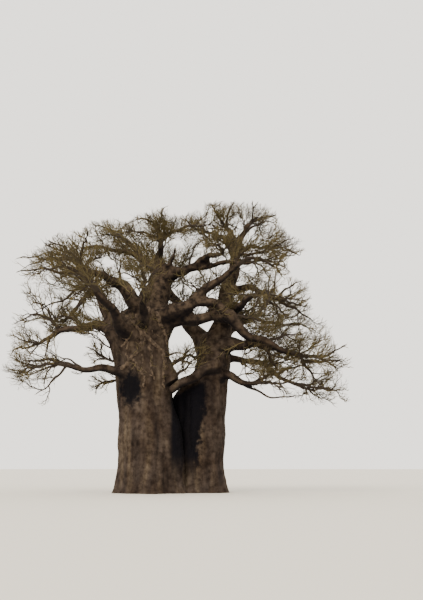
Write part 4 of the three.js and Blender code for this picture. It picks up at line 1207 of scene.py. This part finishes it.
def branch_rows(limb, number, step):
    """The side branches of one bough as coarse lines."""
    rows = []
    first = OFF_TRUNK if limb["root"] in TRUNKS else OFF_BOUGH
    grown = limb["length"] * limb["stop"]
    for i, out in enumerate(np.arange(first, grown, step)):
        t = out / limb["length"]
        seed = int(child_seed(number + BRANCH_SEED, i))
        root = limb["point_at"](t)
        forward = unit(limb["point_at"](min(t + 0.01, 1.0)) - limb["point_at"](t - 0.01))
        turn = np.array(GOLDEN_TURN * i)
        direction = side_direction(forward, root, seed, turn, opening=0.7, rise=0.15, spread_out=0.15)
        shorter = 1.1 - TIP_SHORTER * t
        reach = limb["radius_at"](t) + (LEAST_REACH + MORE_REACH * float(draw(seed, 2))) * shorter
        middle = root + direction * reach * 0.5
        outward = unit(root * np.array([1.0, 1, 0]))
        end = middle + unit(direction + UP * 0.25 + outward * 0.25) * reach * 0.5
        if not (near_trunk(np.array([middle, end])).any() or in_opening(end) or direction[1] < FORWARD):
            rows.append(dict(points=np.array([root, middle, end]), seed=seed))
    return rows


SIDE_PIECES = 14
OVERLAP = 0.06  # share of a side bough that goes back into its barked part


def side_order(side):
    """The parts of side boughs that the bark leaves off, as lines of points with their thickness."""
    lines = []
    thick = []
    for limb in side:
        first = max(limb["bark_end"] - OVERLAP, 0)
        lines.append([limb["point_at"](t) for t in np.linspace(first, 1, SIDE_PIECES + 1)])
        thick.append((limb["radius_at"](first), limb["radius"][1]))
    return dict(line=np.array(lines), thick=np.array(thick), tone=np.zeros(len(side), int))


for group, (step, names) in BRANCH_GROUPS.items():
    rows = []
    batches = []
    for number, limb in enumerate(LIMBS + SIDE_BOUGHS):
        if limb["name"] in names:
            rows += branch_rows(limb, number, step)
    side = [limb for limb in SIDE_BOUGHS if limb["name"] in names and limb["bark_end"] < 1]
    if side:
        batches.append(tubes(side_order(side), sides=8))
    mains = gather(rows, pieces=6, wander=0.2, thick=BRANCH_THICK, home=NO_MASS, tone=old_wood)
    batches += [tubes(mains, sides=5)] + fine_batches(grow_on(mains, **BRANCH_SHOOTS))
    add_twig_piece(group, batches, [])


# The ribs
# Old shoots have bent back and grown fast to the left barrel. They lie on it like crooked ropes, and
# young shoots still stand out from them.
RIB_PIECES = 24
RIB_WANDER = 0.35
RIB_SEED = 500
RIB_SUNK = 0.02  # how far a rib's middle lies under the skin
RIB_DIVE = (0.3, 0.16, 0.05)  # how much deeper the first points of its root lie
RIB_REACH = 0.3  # how far behind the plain barrel's front a rib may lie, where a fork opens
RIB_SHOOTS = dict(spacing=0.22, fewest=6, most=14, thick=(0.024, 0.01), pieces=4, wander=0.25, rise=0.1,
                  own_tone=True, size=0.36)

# Each row is a rib's radius at its root and at its tip, and its path in x and height.
RIBS = [
    (0.2, 0.11, [(-1.5, 11.3), (-1.65, 10.6), (-1.95, 10.1), (-1.75, 9.5), (-1.15, 8.9), (-0.4, 8.5)]),
    (0.17, 0.08, [(-3.3, 7.3), (-2.8, 7.6), (-2.5, 8.1), (-1.9, 8.6), (-1.7, 9.3)]),
    (0.13, 0.06, [(-2.5, 8.2), (-2.1, 7.5), (-1.65, 6.9), (-1.75, 6.2)]),
    (0.12, 0.06, [(-1.5, 9.0), (-1.25, 8.1), (-1.35, 7.3), (-1.05, 6.7)]),
    (0.14, 0.08, [(-2.95, 10.8), (-2.45, 10.3), (-2.1, 9.9), (-1.85, 9.3), (-2.0, 8.7)]),
    (0.16, 0.09, [(-0.65, 8.6), (-0.45, 7.8), (-0.6, 7.0), (-0.5, 6.2)]),
    (0.16, 0.1, [(-0.95, 11.0), (-0.85, 10.3), (-0.5, 9.7), (-0.35, 8.8)]),
    (0.1, 0.05, [(-3.15, 9.5), (-2.7, 9.0), (-2.85, 8.4), (-2.6, 7.7)]),
    (0.08, 0.04, [(-2.3, 11.0), (-2.2, 10.5), (-1.4, 10.1), (-1.25, 9.6), (-0.7, 9.4)]),
    (0.08, 0.04, [(-3.2, 8.7), (-2.6, 9.3), (-2.4, 9.7)]),
    (0.07, 0.04, [(-1.9, 8.4), (-1.75, 7.9), (-1.9, 7.4), (-1.2, 6.9)]),
]

# Weathered shoot bark: dull, in brown patches of some 200 mm.
RIB_PATCH = 0.2
rib_bark = new_material("weathered shoot bark")
rib_place = add_node(rib_bark, "ShaderNodeTexCoord", {}).outputs["Object"]
rib_grain = add_node(
    rib_bark,
    "ShaderNodeTexNoise",
    {"Vector": rib_place, "Scale": 1 / RIB_PATCH, "Detail": 4.0, "Roughness": 0.55},
).outputs["Fac"]
rib_colour = add_node(
    rib_bark, "ShaderNodeValToRGB", {"Fac": rib_grain}, ramp=[(0.35, "#2a231e"), (0.65, "#625447")]
).outputs["Color"]
rib_bump = add_node(
    rib_bark, "ShaderNodeBump", {"Height": rib_grain, "Strength": 0.5, "Distance": 0.02}
).outputs["Normal"]
rib_skin = add_node(
    rib_bark,
    "ShaderNodeBsdfPrincipled",
    {"Base Color": rib_colour, "Roughness": 0.9, "IOR": 1.45, "Specular IOR Level": 0.1, "Normal": rib_bump},
)
add_node(rib_bark, "ShaderNodeOutputMaterial", {"Surface": rib_skin.outputs["BSDF"]})


def laid_on_bark(path):
    """Points on the front of the left trunk's bark, along a path of x and height."""
    path = np.array(path)
    spans = np.concatenate([[0], np.cumsum(np.linalg.norm(np.diff(path, axis=0), axis=1))])
    places = np.linspace(0, spans[-1], RIB_PIECES + 1)
    across, up = (np.interp(places, spans, path[:, k]) for k in (0, 1))
    line = np.column_stack([across, np.zeros(RIB_PIECES + 1), up])
    for point in line:
        x, y, wide, deep = trunk_level(TRUNKS["left_trunk"], point[2])
        front = y - deep * math.sqrt(max(0.05, 1 - ((point[0] - x) / wide) ** 2))
        hit = skins["left_trunk"].ray_cast(Vector((point[0], front - 0.5, point[2])), Vector((0, 1, 0)))[0]
        point[1] = min(hit.y, front + RIB_REACH) if hit else front
    for _ in range(3):
        line[1:-1] = 0.25 * line[:-2] + 0.5 * line[1:-1] + 0.25 * line[2:]
    line[:, 1] += RIB_SUNK
    line[:3, 1] += RIB_DIVE
    return line


rib_lines = np.array([laid_on_bark(path) for _, _, path in RIBS])
rib_seeds = np.arange(RIB_SEED, RIB_SEED + len(RIBS))
ribs = dict(
    line=gnarled(rib_lines, RIB_WANDER, rib_seeds),
    seed=rib_seeds,
    home=np.full(len(RIBS), NO_MASS),
    tone=np.zeros(len(RIBS), int),
    thick=np.array([(root, tip) for root, tip, _ in RIBS]),
)
add_twig_piece("left_trunk_shoots", fine_batches(grow_on(ribs, **RIB_SHOOTS)), [])
rib_shape = bmesh.new()
rib_points, rib_faces, _ = tubes(ribs, sides=8)
rib_verts = [rib_shape.verts.new(point) for point in rib_points]
for corners in rib_faces:
    rib_shape.faces.new([rib_verts[corner] for corner in corners])
rib_piece = add_object("left_trunk_ribs", bpy.data.meshes.new("left_trunk_ribs"))
rib_shape.to_mesh(rib_piece.data)
rib_shape.free()
rib_piece.data.shade_smooth()
rib_piece.data.materials.append(rib_bark)
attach(rib_piece, "root")


# The floor
# A plain pale floor under the tree, wide enough to reach the horizon in the picture.
floor_shape = bmesh.new()
bmesh.ops.create_circle(floor_shape, cap_ends=True, cap_tris=False, segments=96, radius=400)
floor = add_object("floor", bpy.data.meshes.new("floor"))
floor_shape.to_mesh(floor.data)
floor_shape.free()
floor_paint = new_material("matt pale floor")
paint = add_node(
    floor_paint, "ShaderNodeBsdfPrincipled", {"Base Color": linear("#d8d3c8"), "Roughness": 0.95}
)
add_node(floor_paint, "ShaderNodeOutputMaterial", {"Surface": paint.outputs["BSDF"]})
floor.data.materials.append(floor_paint)

# The light
# An even, slightly warm sky, and one broad soft lamp high on the left, as under thin cloud.
world = bpy.data.worlds.new("pale sky")
world.use_nodes = True
sky = world.node_tree.nodes["Background"]
sky.inputs["Color"].default_value = linear("#f6f1e8")
sky.inputs["Strength"].default_value = 2.35
bpy.context.scene.world = world
sun = bpy.data.lights.new("soft_sun", "SUN")
sun.energy = 1.6
sun.angle = math.radians(25)
sun.color = linear("#fff3e0")[:3]
lamp = add_object("soft_sun", sun)
lamp.rotation_euler = (math.radians(48), 0, math.radians(-38))

# The camera
# The picture was taken from some 52 m away at eye height, looking a little up. The ground line and
# the crown's place in the frame give the tilt and the turn, in degrees.
CAMERA_TILT = 11.266
CAMERA_TURN = -2.697
camera_data = bpy.data.cameras.new("camera")
camera_data.sensor_fit = "VERTICAL"
camera_data.sensor_height = 36
camera_data.lens = 50
camera_data.clip_end = 1000
camera = add_object("camera", camera_data)
camera.location = EYE.tolist()
camera.rotation_euler = (math.radians(90 + CAMERA_TILT), 0, math.radians(CAMERA_TURN))
bpy.context.scene.camera = camera
